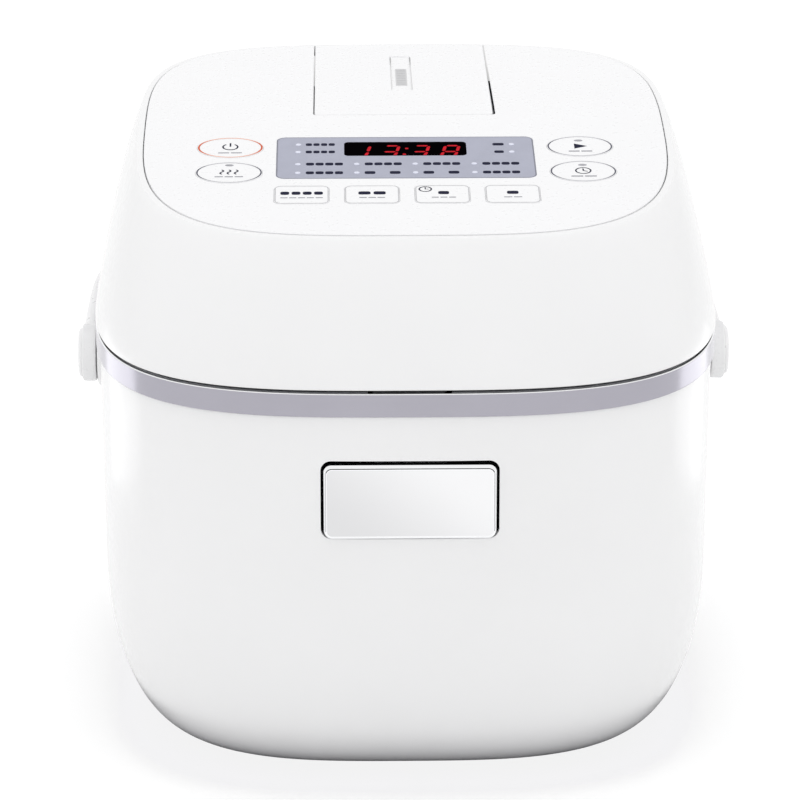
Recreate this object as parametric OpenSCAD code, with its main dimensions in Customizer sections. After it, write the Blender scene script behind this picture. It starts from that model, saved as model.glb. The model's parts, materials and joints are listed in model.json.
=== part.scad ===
// Small rice cooker with a hinged lid, a push latch, a carrying handle and a control panel on the lid.
// Front is -Y, +Z is up. The model is drawn about the middle of the body and then moved by in_frame(),
// so that the origin is the centre of the whole cooker's footprint, on the table.

/* [Body] */
// Width of the body over the silver band
body_w = 212; // [196:1:232]
// Depth of the band in front of the body's middle
front_d = 121; // [112:1:132]
// Depth of the band behind the body's middle
rear_d = 120; // [112:1:132]
// Height of the band's lower edge above the table
band_z = 133.3; // [128:0.1:145]
// Height of the silver band
band_h = 8; // [7:0.1:12]
// How far the band stands out from the case below it
band_step = 1.2; // [0.8:0.1:2]
// Squareness of the body's outline, where 2 is an ellipse
corner_power = 3.25; // [3:0.05:4]
// Wall of the outer case
case_wall = 2.5; // [2:0.1:3]
// Inward slope of the case towards its foot
case_draft = 0.01; // [0:0.005:0.02]
// Height of the rounded foot of the case
foot_round_h = 60; // [50:1:70]
// Inset of the rounded foot at the sides
foot_round_side = 25.7; // [20:0.1:30]
// Inset of the rounded foot at the front and rear
foot_round_front = 30.6; // [24:0.1:34]
// Thickness of the base plate
base_t = 2.8; // [2.2:0.1:4]
// Height of the rubber feet below the base
foot_h = 2; // [1.5:0.1:4]
// Radius of a rubber foot
foot_r = 8; // [6:0.5:10]

/* [Lid] */
// Height of the flat rear part of the lid's top
lid_top_z = 202.1; // [195:0.1:212]
// Gap between the band and the lid
seam_gap = 0.8; // [0.5:0.1:1.5]
// Wall of the lid cover
lid_wall = 2.5; // [2:0.1:3]
// Inset of the lid's top edge at the sides
lid_in_side = 15.2; // [12:0.1:18]
// Inset of the lid's top edge at the front
lid_in_front = 19.9; // [16:0.1:24]
// Inset of the lid's top edge at the rear
lid_in_rear = 9; // [7:0.1:12]
// Roundness of the lid's flank, where 1 is a straight slope
flank_power = 1.21; // [1.1:0.01:1.4]
// Squareness of the lid's top outline
crease_power = 3.6; // [3.2:0.05:4]
// Place of the bend between the flat rear and the sloping front of the top
bend_y = 6; // [2:0.5:8]
// Fall of the sloping front, as a share of its length
top_slope = 0.135; // [0.1:0.005:0.16]
// Width of the lid cover's rim round the top panel
rim_w = 2; // [1.5:0.1:3]
// Thickness of the top panel
panel_t = 2.5; // [2:0.1:3]

/* [Pot and heater] */
// Outer radius of the pot's wall above its rounded bottom
pot_r = 84; // [80:0.5:86]
// Wall of the pot
pot_wall = 1.8; // [1.2:0.1:2.5]
// Height of the pot, rim to bottom
pot_h = 95.6; // [90:0.1:98]
// Radius over the pot's rim
pot_rim_r = 87.5; // [86.5:0.1:89]
// Width of the pot's rim beyond its wall
pot_rim_w = 3.5; // [2.5:0.1:5]
// Space between the pot and the liner round it
liner_gap = 2; // [1.5:0.1:2.5]
// Sheet of the liner
liner_t = 0.8; // [0.6:0.1:1]
// Radius of the heater plate
heater_r = 72; // [66:0.5:74]
// Thickness of the heater plate
heater_t = 6; // [5:0.1:7]
// Radius of the temperature sensor's cap
sensor_r = 12; // [10:0.5:14]
// Travel of the temperature sensor
sensor_travel = 2; // [1:0.1:2.5]

/* [Latch] */
// Width of the latch button
latch_w = 56; // [50:0.1:62]
// Height of the latch button
latch_h = 24.8; // [22:0.1:28]
// Distance from the band down to the latch button
latch_drop = 16.2; // [14:0.1:18]
// Gap round the latch button
latch_gap = 1; // [0.9:0.1:1.6]
// Angle through which the latch button tilts
latch_angle = 5; // [4:0.1:5.5]
// Radius of the latch's pin
latch_pin_r = 1.5; // [1.2:0.1:1.8]

/* [Handle] */
// Height of the handle's pivot
pivot_z = 116; // [112:0.5:118]
// Place of the handle's pivot behind the body's middle
pivot_y = 7; // [0:0.5:12]
// Distance from the pivot to the outside of the handle's bar
handle_reach = 148; // [146:0.5:156]
// Thickness of the handle's bar
bar_t = 8; // [6:0.5:8.5]
// Thickness of the handle's arms
arm_t = 5.1; // [4.5:0.1:6.5]
// Height of the handle's bar and arms
bar_h = 16; // [12:0.5:18]
// Radius of the round ends over the pivots
boss_r = 10.1; // [9:0.1:11]
// Radius of the pivot pins
pivot_r = 4; // [3:0.1:5]

/* [Controls] */
// Half width of an oval button
oval_rx = 11.2; // [10:0.1:12]
// Half length of an oval button
oval_ry = 9; // [8:0.1:9.5]
// Distance of the oval buttons from the middle
oval_x = 59.1; // [57:0.1:61]
// Width of a square button
key_w = 18.2; // [16:0.1:20]
// Length of a square button
key_l = 15.2; // [12:0.1:16]
// Distance between the middles of the square buttons
key_pitch = 23.2; // [22:0.1:24]
// Width of the display plate
display_w = 86.8; // [82:0.1:90]
// Length of the display plate
display_l = 36.4; // [34:0.1:38]
// Width of the window over the digits
window_w = 41.2; // [38:0.1:44]
// Length of the window over the digits
window_l = 12.2; // [10:0.1:13]
// Travel of a button
key_travel = 0.8; // [0.5:0.1:0.9]

/* [Steam vent] */
// Width of the steam vent cap
vent_w = 61.6; // [54:0.1:66]
// Place of the cap's front edge behind the body's middle
vent_front_y = 5.3; // [4:0.1:8]
// Place of the steam pipe behind the body's middle
steam_y = 60; // [56:0.5:66]
// Inner radius of the steam pipe
steam_r = 13.2; // [12:0.1:14]

/* [Hinge and inlet] */
// Radius of the hinge barrel
barrel_r = 4.5; // [4:0.1:5]
// Radius of the hinge pin
hinge_pin_r = 1.5; // [1.2:0.1:1.8]
// Half length of the lid's part of the hinge barrel
barrel_half = 28.7; // [26:0.1:32]
// Half length of the whole hinge
hinge_half = 46; // [42:0.5:50]
// Width of the power inlet's shroud
inlet_w = 32; // [28:0.5:36]
// Height of the power inlet's shroud
inlet_h = 20; // [18:0.5:22]
// Height of the power inlet above the table
inlet_z = 82; // [78:0.5:86]

/* [Hidden] */

// Clearances
gap = 0.3;          // between pieces that move past each other
fit_gap = 0.05;     // round a pin in its bore
e = 0.01;           // reach of a cut past the face it opens
ring_n = 64;        // points round a lofted outline

// Heights
body_z = foot_h;                        // underside of the case and base plate
deck_z = band_z + band_h;               // top of the band and of the upper frame
lid_z = deck_z + seam_gap;              // lower edge of the lid cover
deck_t = 2.5;
deck_skirt = 6;                         // rim under the upper frame
pot_rim_z = deck_z - 0.4;
pot_rim_t = 1.6;
pot_z = pot_rim_z - pot_h;              // underside of the pot
heater_z = pot_z - heater_t;            // underside of the heater plate
leg_h = 5;                              // legs under the heater plate
liner_z = heater_z - leg_h - liner_t;   // underside of the liner
holder_z = liner_z - 2.8;               // floor of the sensor's cup
sensor_stem_r = 4;
sensor_stem_l = 12;                     // below the liner's floor
stem_hole_r = sensor_stem_r + gap;
base_top = body_z + base_t;

// Widths
half_w = body_w / 2;
pot_top_r = pot_rim_r - pot_rim_w;      // pot's wall under its rim
pot_round_r = 14;                       // round at the pot's bottom
liner_r = pot_r + liner_gap;            // inside of the liner
liner_top_r = pot_top_r + liner_gap;
seat_r = pot_rim_r + 1.7;               // recess for the pot's rim
deck_clear = 0.1;

// Lid
bend_half = 12;                         // half length of the bend
slope_angle = atan(top_slope);
frame_z = lid_z + 0.8;                  // underside of the inner lid frame
frame_t = 2.5;
lid_plate_t = 1.2;                      // inner lid plate under its frame
panel_proud = 0.2;
key_top = panel_proud + 0.1;            // top of a button above the lid's own surface
film_t = 1;                             // display plate
ledge_w = 3;                            // ledge that carries the top panel
ledge_drop = panel_t + 2.2;             // underside of the ledge below the lid's top

// Board under the panel, measured down from the panel's face
board_depth = 10;
board_t = 1.6;
switch_h = 2;
flange_drop = 0.4;
flange_t = 1;
stem_r = 2;

// Places down the slope from the bend
oval_v = [-31.5, -53.4];
display_v = -40.5;
window_v = -32.8;
key_v = -72.6;
board_w = 152;
board_front = -86;
board_rear = -17;
post_r = 3;
post_places = [for (s = [-1, 1]) each [[s * (board_w / 2 - 4.5), board_rear - 4.5],
                                        [s * (board_w / 2 - 10), board_front + 4.5]]];

// Hinge
hinge_y = rear_d + 0.8 + barrel_r;
hinge_z = deck_z + seam_gap / 2;
arm_h = 13;                             // height of the hinge's arm on the lid
housing_h = 33;                         // height of the housing below the hinge pin

// Latch
latch_z = band_z - latch_drop - latch_h / 2;    // middle of the button
latch_t = 2.5;
latch_proud = 0.4;
latch_face = front_d - band_step + latch_proud;      // button's face in front of the middle
latch_pin_y = -(front_d - band_step - 8.3);
latch_pin_z = latch_z - latch_h / 2 + 0.5;
lever_w = 24;
lever_t = 3;
lever_y = latch_pin_y - lever_t / 2;            // front of the lever's arm
hook_reach = 3.6;
hook_z = lid_z + 2.7;                           // underside of the hook
hook_h = 3.2;
bezel_t = 1.5;
bezel_d = 5;
pawl_swing = (hook_z + hook_h - latch_pin_z) * sin(latch_angle);
slot_rear = lever_y + lever_t + pawl_swing + 0.8;

// Handle
arm_x = half_w + 1.5;                   // inner face of the arms
boss_x = arm_x + arm_t;                 // outer face of the arms
cap_t = 1.7;
bail_power = 3;
arm_straight = 40;                      // straight stretch of each arm behind its pivot

// Steam vent
well_rear_y = rear_d - lid_in_rear - rim_w - ledge_w - 1.6; // clear of the ledge's curve
cap_plate_t = 2.3;
cap_lip_h = 8;                          // of the vent cap's rim below the lid's top
well_wall = 3.4;
well_z = lid_top_z - 22;
well_top = lid_top_z - 3.2;

// The whole cooker reaches from the band's front to the handle's bar
centre_y = (pivot_y + handle_reach - front_d) / 2;

// Colours
WHITE = [0.95, 0.95, 0.96];
PANEL = [0.97, 0.97, 0.98];
SILVER = [0.68, 0.68, 0.72];
CHROME = [0.86, 0.87, 0.88];
STEEL = [0.75, 0.76, 0.78];
DARK = [0.16, 0.16, 0.18];
GREY = [0.62, 0.63, 0.66];
RUBBER = [0.2, 0.2, 0.21];
LAVENDER = [0.75, 0.76, 0.82];
BOARD = [0.13, 0.4, 0.25];
BRASS = [0.8, 0.66, 0.32];
ORANGE = [0.93, 0.5, 0.4];

// ---------- Shapes ----------

function spow(v, p) = sign(v) * pow(abs(v), 2 / p);

// Rounded rectangle-like outline, deeper in front or behind as asked
function outline(hw, front, rear, power, n = ring_n) =
    [for (i = [0 : n - 1])
        let (a = 360 * i / n)
        [hw * spow(cos(a), power), (sin(a) < 0 ? front : rear) * spow(sin(a), power)]];

function oval(rx, ry, n = 48) = [for (i = [0 : n - 1]) [rx * cos(360 * i / n), ry * sin(360 * i / n)]];

// Height of the lid's top at depth y
function top_z(y) = lid_top_z - top_slope *
    (y >= bend_y + bend_half ? 0 :
     y <= bend_y - bend_half ? bend_y - y : pow(bend_y + bend_half - y, 2) / (4 * bend_half));

// One level of the case: z above the table, inset by a wall
function case_level(z, wall) =
    let (
        h = foot_round_h - wall,
        u = min(1, max(0, (body_z + foot_round_h - z) / h)),
        w = 1 - pow(1 - pow(u, 2.2), 1 / 2.2),
        in = band_step + wall + case_draft * max(0, band_z - z)
    )
    [for (p = outline(half_w - in - foot_round_side * w, front_d - in - foot_round_front * w,
                      rear_d - in - foot_round_front * w, corner_power)) [p[0], p[1], z]];

// One level of the lid's flank: v runs from 0 at the seam to 1 at the top edge
function lid_level(v, wall, drop = 0) =
    let (w = 1 - pow(max(0, 1 - pow(v, flank_power)), 1 / flank_power))
    [for (p = outline(half_w - wall - lid_in_side * w, front_d - wall - lid_in_front * w,
                      rear_d - wall - lid_in_rear * w, corner_power + (crease_power - corner_power) * v))
        [p[0], p[1], lid_z + v * (top_z(p[1]) - drop - lid_z)]];

// How far the lid's inner face has come in at height z, when it comes in by full at height top
function flank_in(z, top, full) =
    full * (1 - pow(max(0, 1 - pow((z - lid_z) / (top - lid_z), flank_power)), 1 / flank_power));

function crease(inset) = outline(half_w - lid_in_side - inset, front_d - lid_in_front - inset,
                                 rear_d - lid_in_rear - inset, crease_power);

function at_top(points, drop) = [for (p = points) [p[0], p[1], top_z(p[1]) - drop]];

// Closed ring through sections that run up the outside and down the inside
module ring_loft(sections) {
    m = len(sections);
    n = len(sections[0]);
    polyhedron(
        points = [for (s = sections) each s],
        faces = [for (j = [0 : m - 1]) for (i = [0 : n - 1])
            let (k = (i + 1) % n, t = (j + 1) % m)
            each [[j * n + i, t * n + k, j * n + k], [j * n + i, t * n + i, t * n + k]]],
        convexity = 8);
}

// Wire swept along a helix about Z
module coil(r, wire, turns, length, steps = 14, sides = 6) {
    n = turns * steps;
    rise = length / n;
    polyhedron(
        points = [for (i = [0 : n]) for (s = [0 : sides - 1])
            let (a = 360 * i / steps, b = 360 * s / sides, d = r + wire * cos(b))
            [d * cos(a), d * sin(a), i * rise + wire * sin(b)]],
        faces = concat(
            [[for (s = [sides - 1 : -1 : 0]) s]],
            [for (i = [0 : n - 1]) for (s = [0 : sides - 1])
                let (q = (s + 1) % sides)
                each [[i * sides + s, i * sides + q, (i + 1) * sides + q],
                      [i * sides + s, (i + 1) * sides + q, (i + 1) * sides + s]]],
            [[for (s = [0 : sides - 1]) n * sides + s]]),
        convexity = 10);
}

module slab(z, t, points) {
    translate([0, 0, z]) linear_extrude(t) polygon(points);
}

module disc(x, y, z, r, h) {
    translate([x, y, z]) cylinder(h = h, r = r, $fn = 64);
}

// Cylinder along X from x0 to x1
module rod_x(x0, x1, y, z, r) {
    translate([x0, y, z]) rotate([0, 90, 0]) cylinder(h = x1 - x0, r = r, $fn = 48);
}

// Box given by its two corners
module block(a, b) {
    translate(a) cube(b - a);
}

// Box that stands on z = 0 with its middle on the Z axis
module on_floor(size) {
    translate([-size[0] / 2, -size[1] / 2, 0]) cube(size);
}

module round_rect(w, l, r) {
    hw = w / 2 - r;
    hl = l / 2 - r;
    polygon([for (c = [[1, 1, 0], [-1, 1, 90], [-1, -1, 180], [1, -1, 270]]) for (i = [0 : 6])
        [c[0] * hw + r * cos(c[2] + 15 * i), c[1] * hl + r * sin(c[2] + 15 * i)]]);
}

// Plane of the sloping control area: x across, y up the slope from the bend, z out of the panel
module on_slope() {
    translate([0, bend_y, lid_top_z]) rotate([slope_angle, 0, 0]) children();
}

// Bent sheet that follows the lid's top, between two depths below it
module bent_sheet(upper, lower) {
    ys = [-front_d, for (y = [bend_y - bend_half : 3 : bend_y + bend_half]) y, rear_d];
    side = concat([for (y = ys) [y, top_z(y) - upper]],
                  [for (i = [len(ys) - 1 : -1 : 0]) [ys[i], top_z(ys[i]) - lower]]);
    rotate([90, 0, 90]) translate([0, 0, -half_w]) linear_extrude(body_w) polygon(side);
}

module column(points) {
    slab(lid_z, lid_top_z + 5 - lid_z, points);
}

module mirrored() {
    children();
    mirror([1, 0, 0]) children();
}

// ---------- Body ----------

module outer_case() {
    outer = [for (k = [0, 0.4, 1, 2, 3.5, 6, 10, 16, 25, 38])
        case_level(body_z + foot_round_h * k / 60, 0)];
    straight = [for (z = [body_z + foot_round_h, band_z, deck_z - deck_t - gap]) case_level(z, 0)];
    inner = [for (k = [38, 22, 12, 6, 3, 1, 0])
        case_level(body_z + case_wall + (foot_round_h - case_wall) * k / 60, case_wall)];
    color(WHITE) difference() {
        ring_loft(concat(outer, straight,
            [case_level(deck_z - deck_t - gap, case_wall), case_level(body_z + foot_round_h, case_wall)],
            inner));
        block([-bezel_x - gap, -front_d, latch_z - bezel_z - gap],
              [bezel_x + gap, -front_d / 2, latch_z + bezel_z + gap]);
        block([-inlet_w / 2 - gap, rear_d / 2, inlet_z - inlet_h / 2 - gap],
              [inlet_w / 2 + gap, rear_d, inlet_z + inlet_h / 2 + gap]);
        rod_x(-half_w, half_w, pivot_y, pivot_z, pivot_r + 0.1);
    }
}

module silver_band() {
    inner = band_step - fit_gap;
    color(SILVER) difference() {
        slab(band_z, band_h, outline(half_w, front_d, rear_d, corner_power));
        slab(band_z - e, band_h + 2 * e,
             outline(half_w - inner, front_d - inner, rear_d - inner, corner_power));
    }
}

module upper_frame() {
    in = band_step + deck_clear;
    wall_in = band_step + case_wall + gap;
    rib_in = wall_in + 3;
    low = deck_z - deck_t - deck_skirt - 1;
    color(GREY) difference() {
        union() {
            slab(deck_z - deck_t, deck_t, outline(half_w - in, front_d - in, rear_d - in, corner_power));
            slab(deck_z - deck_t - deck_skirt, deck_skirt + e,
                 outline(half_w - wall_in, front_d - wall_in, rear_d - wall_in, corner_power));
        }
        disc(0, 0, low, liner_top_r, deck_t + deck_skirt + 2);
        disc(0, 0, pot_rim_z - pot_rim_t - gap, seat_r, deck_t + deck_skirt + 2);
        difference() {
            slab(low, deck_skirt + 1,
                 outline(half_w - rib_in, front_d - rib_in, rear_d - rib_in, corner_power));
            disc(0, 0, low - 1, liner_top_r + 9, deck_skirt + 3);
        }
        block([-lever_w / 2 - 1.5, -front_d, low - 1],
              [lever_w / 2 + 1.5, slot_rear, deck_z + e]);
    }
}

function base_points(clear) =
    let (in = band_step + case_draft * (band_z - body_z) + case_wall + clear)
    outline(half_w - in - foot_round_side, front_d - in - foot_round_front,
            rear_d - in - foot_round_front, corner_power);

foot_x = 55;
foot_y = 60;
slot_w = 3;                             // air slots in the base plate
slot_l = 34;
slot_pitch = 8;
slot_place = 18;                        // middle of the slots behind the body's middle
screw_r = 1.8;
screw_grip = 12;                        // of a base screw in its column
column_r = 62;                          // circle of the columns that carry the liner
column_angles = [90, 210, 330];
pcb_w = 92;
pcb_l = 38;
pcb_y = -59;
pcb_t = 1.6;
standoff_h = 7;
pcb_mounts = [for (x = [-1, 1]) for (y = [-1, 1]) [x * (pcb_w / 2 - 4), pcb_y + y * (pcb_l / 2 - 4)]];
board_z = base_top + standoff_h;
transformer_size = [32, 26, 12];
core_size = [22, 20, 2.5];
relay_size = [19, 16, 14];

module base_plate() {
    color(DARK) difference() {
        union() {
            slab(body_z, base_t, base_points(gap));
            for (m = pcb_mounts) disc(m[0], m[1], base_top - e, 3, standoff_h + e);
        }
        for (x = [-foot_x, foot_x]) for (y = [-foot_y, foot_y]) disc(x, y, body_z - e, 3.1, base_t + 2 * e);
        for (a = column_angles) {
            disc(column_r * cos(a), column_r * sin(a), body_z - e, 2, base_t + 2 * e);
            disc(column_r * cos(a), column_r * sin(a), body_z - e, 4.2, 1.5 + 3 * e);
        }
        for (i = [-4 : 4]) translate([i * slot_pitch, slot_place, body_z - e]) linear_extrude(base_t + 2 * e)
            round_rect(slot_w, slot_l, slot_w / 2 - 0.1);
    }
}

module rubber_feet() {
    color(RUBBER) for (x = [-foot_x, foot_x]) for (y = [-foot_y, foot_y]) translate([x, y, 0])
        rotate_extrude($fn = 48) polygon([[0, 0], [foot_r - 1, 0], [foot_r, 1], [foot_r, foot_h],
                                          [3, foot_h], [3, base_top], [0, base_top]]);
}

module base_screws() {
    color(STEEL) for (a = column_angles) translate([column_r * cos(a), column_r * sin(a), 0])
        difference() {
            union() {
                disc(0, 0, body_z + 0.1, 4, 1.4);
                disc(0, 0, body_z + 0.1, screw_r, base_t + screw_grip);
            }
            block([-2.6, -0.5, body_z], [2.6, 0.5, body_z + 0.8]);
            block([-0.5, -2.6, body_z], [0.5, 2.6, body_z + 0.8]);
        }
}

module liner_support() {
    color(GREY) difference() {
        union() {
            for (a = column_angles)
                disc(column_r * cos(a), column_r * sin(a), base_top, 5.5, liner_z - base_top);
            disc(0, 0, liner_z - 2.5, column_r + 5, 2.5);
        }
        disc(0, 0, liner_z - 3, column_r - 6, 4);
        for (a = column_angles) disc(column_r * cos(a), column_r * sin(a), base_top - e, 1.8 + fit_gap, 13);
    }
}

module inner_liner() {
    low = liner_z;
    top = deck_z - deck_t - deck_skirt;
    color(STEEL) rotate_extrude($fn = 128) polygon([
        [sensor_r + 4, low], [liner_r + liner_t, low], [liner_r + liner_t, pot_z + pot_round_r],
        [liner_top_r + liner_t, top - liner_t], [liner_top_r + 7, top - liner_t], [liner_top_r + 7, top],
        [liner_top_r, top], [liner_r, pot_z + pot_round_r], [liner_r, low + liner_t],
        [sensor_r + 4, low + liner_t]]);
}

module inner_pot() {
    z = pot_z;
    r = pot_r;
    t = pot_wall;
    round_r = pot_round_r;
    outer = [for (i = [0 : 8]) let (a = -90 + i * 90 / 8)
        [r - round_r + round_r * cos(a), z + round_r + round_r * sin(a)]];
    inner = [for (i = [8 : -1 : 0]) let (a = -90 + i * 90 / 8)
        [r - round_r + (round_r - t) * cos(a), z + round_r + (round_r - t) * sin(a)]];
    color(STEEL) rotate_extrude($fn = 128) polygon(concat(
        [[0, z]], outer,
        [[pot_top_r, pot_rim_z - pot_rim_t], [pot_rim_r - 0.6, pot_rim_z - pot_rim_t],
         [pot_rim_r, pot_rim_z - pot_rim_t + 0.5], [pot_rim_r, pot_rim_z - 0.5],
         [pot_rim_r - 0.5, pot_rim_z], [pot_top_r - t + 1, pot_rim_z], [pot_top_r - t, pot_rim_z - 1.2]],
        inner, [[0, z + t]]));
}

module heater_plate() {
    color(GREY) difference() {
        union() {
            rotate_extrude($fn = 128) polygon([
                [sensor_r + 2, heater_z], [heater_r - 4, heater_z], [heater_r, heater_z + 3],
                [heater_r - 1.5, pot_z], [sensor_r + 2, pot_z]]);
            for (a = column_angles) disc((heater_r - 12) * cos(a), (heater_r - 12) * sin(a),
                                         heater_z - leg_h, 4, leg_h + 1);
        }
        difference() {
            disc(0, 0, heater_z - e, heater_r * 0.66, 2);
            disc(0, 0, heater_z - 1, heater_r * 0.5, 4);
        }
    }
}

// The cap is pressed against the pot from below, and goes down further on its stem.
module sensor_cap() {
    top = pot_z - 0.1;
    color(STEEL) union() {
        rotate_extrude($fn = 64) polygon([[0, top], [sensor_r - 1, top], [sensor_r, top - 1],
            [sensor_r, top - 5], [sensor_r - 1, top - 5], [sensor_r - 1, top - 1.2], [0, top - 1.2]]);
        disc(0, 0, liner_z - sensor_stem_l, sensor_stem_r, top - 1 - liner_z + sensor_stem_l);
    }
}

module sensor_spring() {
    wire = 0.5;
    low = holder_z + wire + 0.1;
    color(STEEL) translate([0, 0, low]) coil(6.2, wire, 5, pot_z - 1.4 - wire - low, 12, 5);
}

// Cup under the liner that the sensor's spring stands on
module sensor_holder() {
    r = sensor_r + 6.5;
    color(STEEL) difference() {
        disc(0, 0, holder_z - 1.2, r, liner_z - holder_z + 1.2);
        disc(0, 0, holder_z, r - 1.2, liner_z - holder_z + e);
        disc(0, 0, holder_z - 2, stem_hole_r, 4);
    }
}

module power_board() {
    color(BOARD) translate([0, pcb_y, board_z]) linear_extrude(pcb_t) round_rect(pcb_w, pcb_l, 2);
}

module transformer() {
    color(DARK) translate([-pcb_w / 4, pcb_y, board_z + pcb_t]) {
        on_floor(transformer_size);
        translate([0, 0, transformer_size[2]]) color(BRASS) on_floor(core_size);
    }
}

module relay() {
    color([0.1, 0.25, 0.55]) translate([pcb_w / 6, pcb_y, board_z + pcb_t]) on_floor(relay_size);
}

module thermal_fuse() {
    y = -heater_r * 0.58;
    z = liner_z + liner_t;
    color(CHROME) {
        rod_x(-9, 9, y, z + 2.2, 1.8);
        block([-2, y - 6, z], [2, y + 6, z + 0.6]);
    }
}

inlet_lip = 3.5;                        // width of the inlet's bezel round its shroud
inlet_lip_t = 1.2;
inlet_proud = 0.08;                     // of the bezel's seat on the case
inlet_depth = 14;
// Outer face of the inlet's bezel
inlet_face = rear_d - band_step - case_draft * (band_z - inlet_z - inlet_h / 2 - inlet_lip)
    + inlet_proud + inlet_lip_t;

module power_inlet() {
    back = inlet_face - inlet_depth - 2;
    color(DARK) difference() {
        union() {
            translate([0, inlet_face, inlet_z]) rotate([90, 0, 0]) linear_extrude(inlet_lip_t)
                round_rect(inlet_w + 2 * inlet_lip, inlet_h + 2 * inlet_lip, 3);
            block([-inlet_w / 2, back, inlet_z - inlet_h / 2],
                  [inlet_w / 2, inlet_face - 1, inlet_z + inlet_h / 2]);
        }
        block([-inlet_w / 2 + 2.5, inlet_face - inlet_depth, inlet_z - inlet_h / 2 + 2.5],
              [inlet_w / 2 - 2.5, inlet_face + e, inlet_z + inlet_h / 2 - 2.5]);
        for (x = [-6, 6]) translate([x, back - 1, inlet_z]) rotate([-90, 0, 0])
            cylinder(h = inlet_depth, r = 1.9 + fit_gap, $fn = 32);
    }
}

module inlet_pins() {
    back = inlet_face - inlet_depth - 2;
    color(BRASS) for (x = [-6, 6]) translate([x, back - 3, inlet_z]) rotate([-90, 0, 0])
        cylinder(h = inlet_depth - 1, r = 1.9, $fn = 32);
}

// ---------- Hinge ----------

module hinge_profile() {
    y0 = rear_d + 0.15;
    polygon(concat(
        [[y0, hinge_z - housing_h + 1], [y0 + 1.5, hinge_z - housing_h],
         [hinge_y + barrel_r - 2, hinge_z - housing_h * 0.8],
         [hinge_y + barrel_r, hinge_z - housing_h * 0.6]],
        [for (i = [0 : 12]) let (a = i * 15)
            [hinge_y + barrel_r * cos(a), hinge_z + barrel_r * sin(a)]],
        [[hinge_y - barrel_r, hinge_z - 1.5], [y0, hinge_z - 1.5]]));
}

module hinge_housing() {
    color(WHITE) difference() {
        rotate([90, 0, 90]) translate([0, 0, -hinge_half]) linear_extrude(2 * hinge_half) hinge_profile();
        block([-barrel_half - gap, rear_d - 5, hinge_z - barrel_r - 0.6],
              [barrel_half + gap, hinge_y + barrel_r + 1, hinge_z + barrel_r + 1]);
        rod_x(-hinge_half - e, hinge_half + e, hinge_y, hinge_z, hinge_pin_r + fit_gap);
        block([-barrel_half, rear_d + 2, hinge_z - housing_h + 3],
              [barrel_half, hinge_y + 1, hinge_z - 12]);
    }
}

module hinge_pin() {
    color(STEEL) rod_x(-hinge_half + 0.5, hinge_half - 0.5, hinge_y, hinge_z, hinge_pin_r);
}

spring_half = 13.5;

module hinge_spring() {
    color(STEEL) translate([-spring_half + 1, hinge_y, hinge_z]) rotate([0, 90, 0])
        coil(barrel_r - 1.45, 0.4, 12, 2 * spring_half - 2, 12, 5);
}

module hinge_arm() {
    wall_y = rear_d - lid_wall;
    top = lid_z + arm_h;
    inside = wall_y - flank_in(top, lid_top_z - ledge_drop, lid_in_rear) - 1.5;
    color(WHITE) difference() {
        union() {
            rod_x(-barrel_half, barrel_half, hinge_y, hinge_z, barrel_r);
            block([-barrel_half, wall_y, lid_z + 0.5], [barrel_half, hinge_y, hinge_z + barrel_r]);
            rotate([90, 0, 90]) translate([0, 0, -barrel_half]) linear_extrude(2 * barrel_half) polygon([
                [wall_y, hinge_z + 2], [hinge_y, hinge_z + 2], [hinge_y + 2, hinge_z + barrel_r - 0.7],
                [rear_d + 0.3, top], [wall_y, top]]);
            block([-barrel_half - 5, inside - 6, frame_z + frame_t], [barrel_half + 5, inside, top]);
            block([-barrel_half, inside - 1, frame_z + frame_t], [barrel_half, wall_y + 1, top]);
        }
        rod_x(-barrel_half - e, barrel_half + e, hinge_y, hinge_z, hinge_pin_r + fit_gap);
        rod_x(-spring_half - 0.5, spring_half + 0.5, hinge_y, hinge_z, barrel_r - 0.7);
    }
}

// ---------- Latch ----------

bezel_x = latch_w / 2 + latch_gap + bezel_t;
bezel_z = latch_h / 2 + latch_gap + bezel_t;

module latch_bezel() {
    front = -(front_d - band_step - 0.1);
    color(WHITE) translate([0, front, latch_z]) rotate([-90, 0, 0]) linear_extrude(bezel_d) difference() {
        round_rect(2 * bezel_x, 2 * bezel_z, 3.5);
        round_rect(2 * (bezel_x - bezel_t), 2 * (bezel_z - bezel_t), 2.6);
    }
}

module latch_button() {
    color(CHROME) translate([0, -latch_face, latch_z]) rotate([-90, 0, 0]) linear_extrude(latch_t)
        round_rect(latch_w, latch_h, 2.4);
}

module latch_lever() {
    back = -latch_face + latch_t;
    top = hook_z + hook_h;
    color(GREY) difference() {
        union() {
            block([-latch_w / 2 + 3, back, latch_z - latch_h / 2 + 1],
                  [latch_w / 2 - 3, back + 2, latch_z + latch_h / 2 - 1]);
            block([-lever_w / 2, back, latch_pin_z],
                  [lever_w / 2, lever_y + lever_t, latch_z + latch_h / 2 - 4]);
            block([-lever_w / 2, lever_y, latch_pin_z], [lever_w / 2, lever_y + lever_t, top]);
            rotate([90, 0, 90]) translate([0, 0, -lever_w / 2 + 2]) linear_extrude(lever_w - 4) polygon([
                [lever_y + 1, hook_z], [lever_y - hook_reach, hook_z], [lever_y - hook_reach, hook_z + 0.8],
                [lever_y, top], [lever_y + 1, top]]);
            rod_x(-lever_w / 2, lever_w / 2, latch_pin_y, latch_pin_z, latch_pin_r + 1.7);
        }
        rod_x(-lever_w, lever_w, latch_pin_y, latch_pin_z, latch_pin_r + fit_gap);
    }
}

ear_t = 3;
ear_x = lever_w / 2 + gap;
bracket_room = 5;                       // behind the slot in the case
bracket_y = slot_rear + bracket_room;   // front of the bracket's back plate

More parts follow.
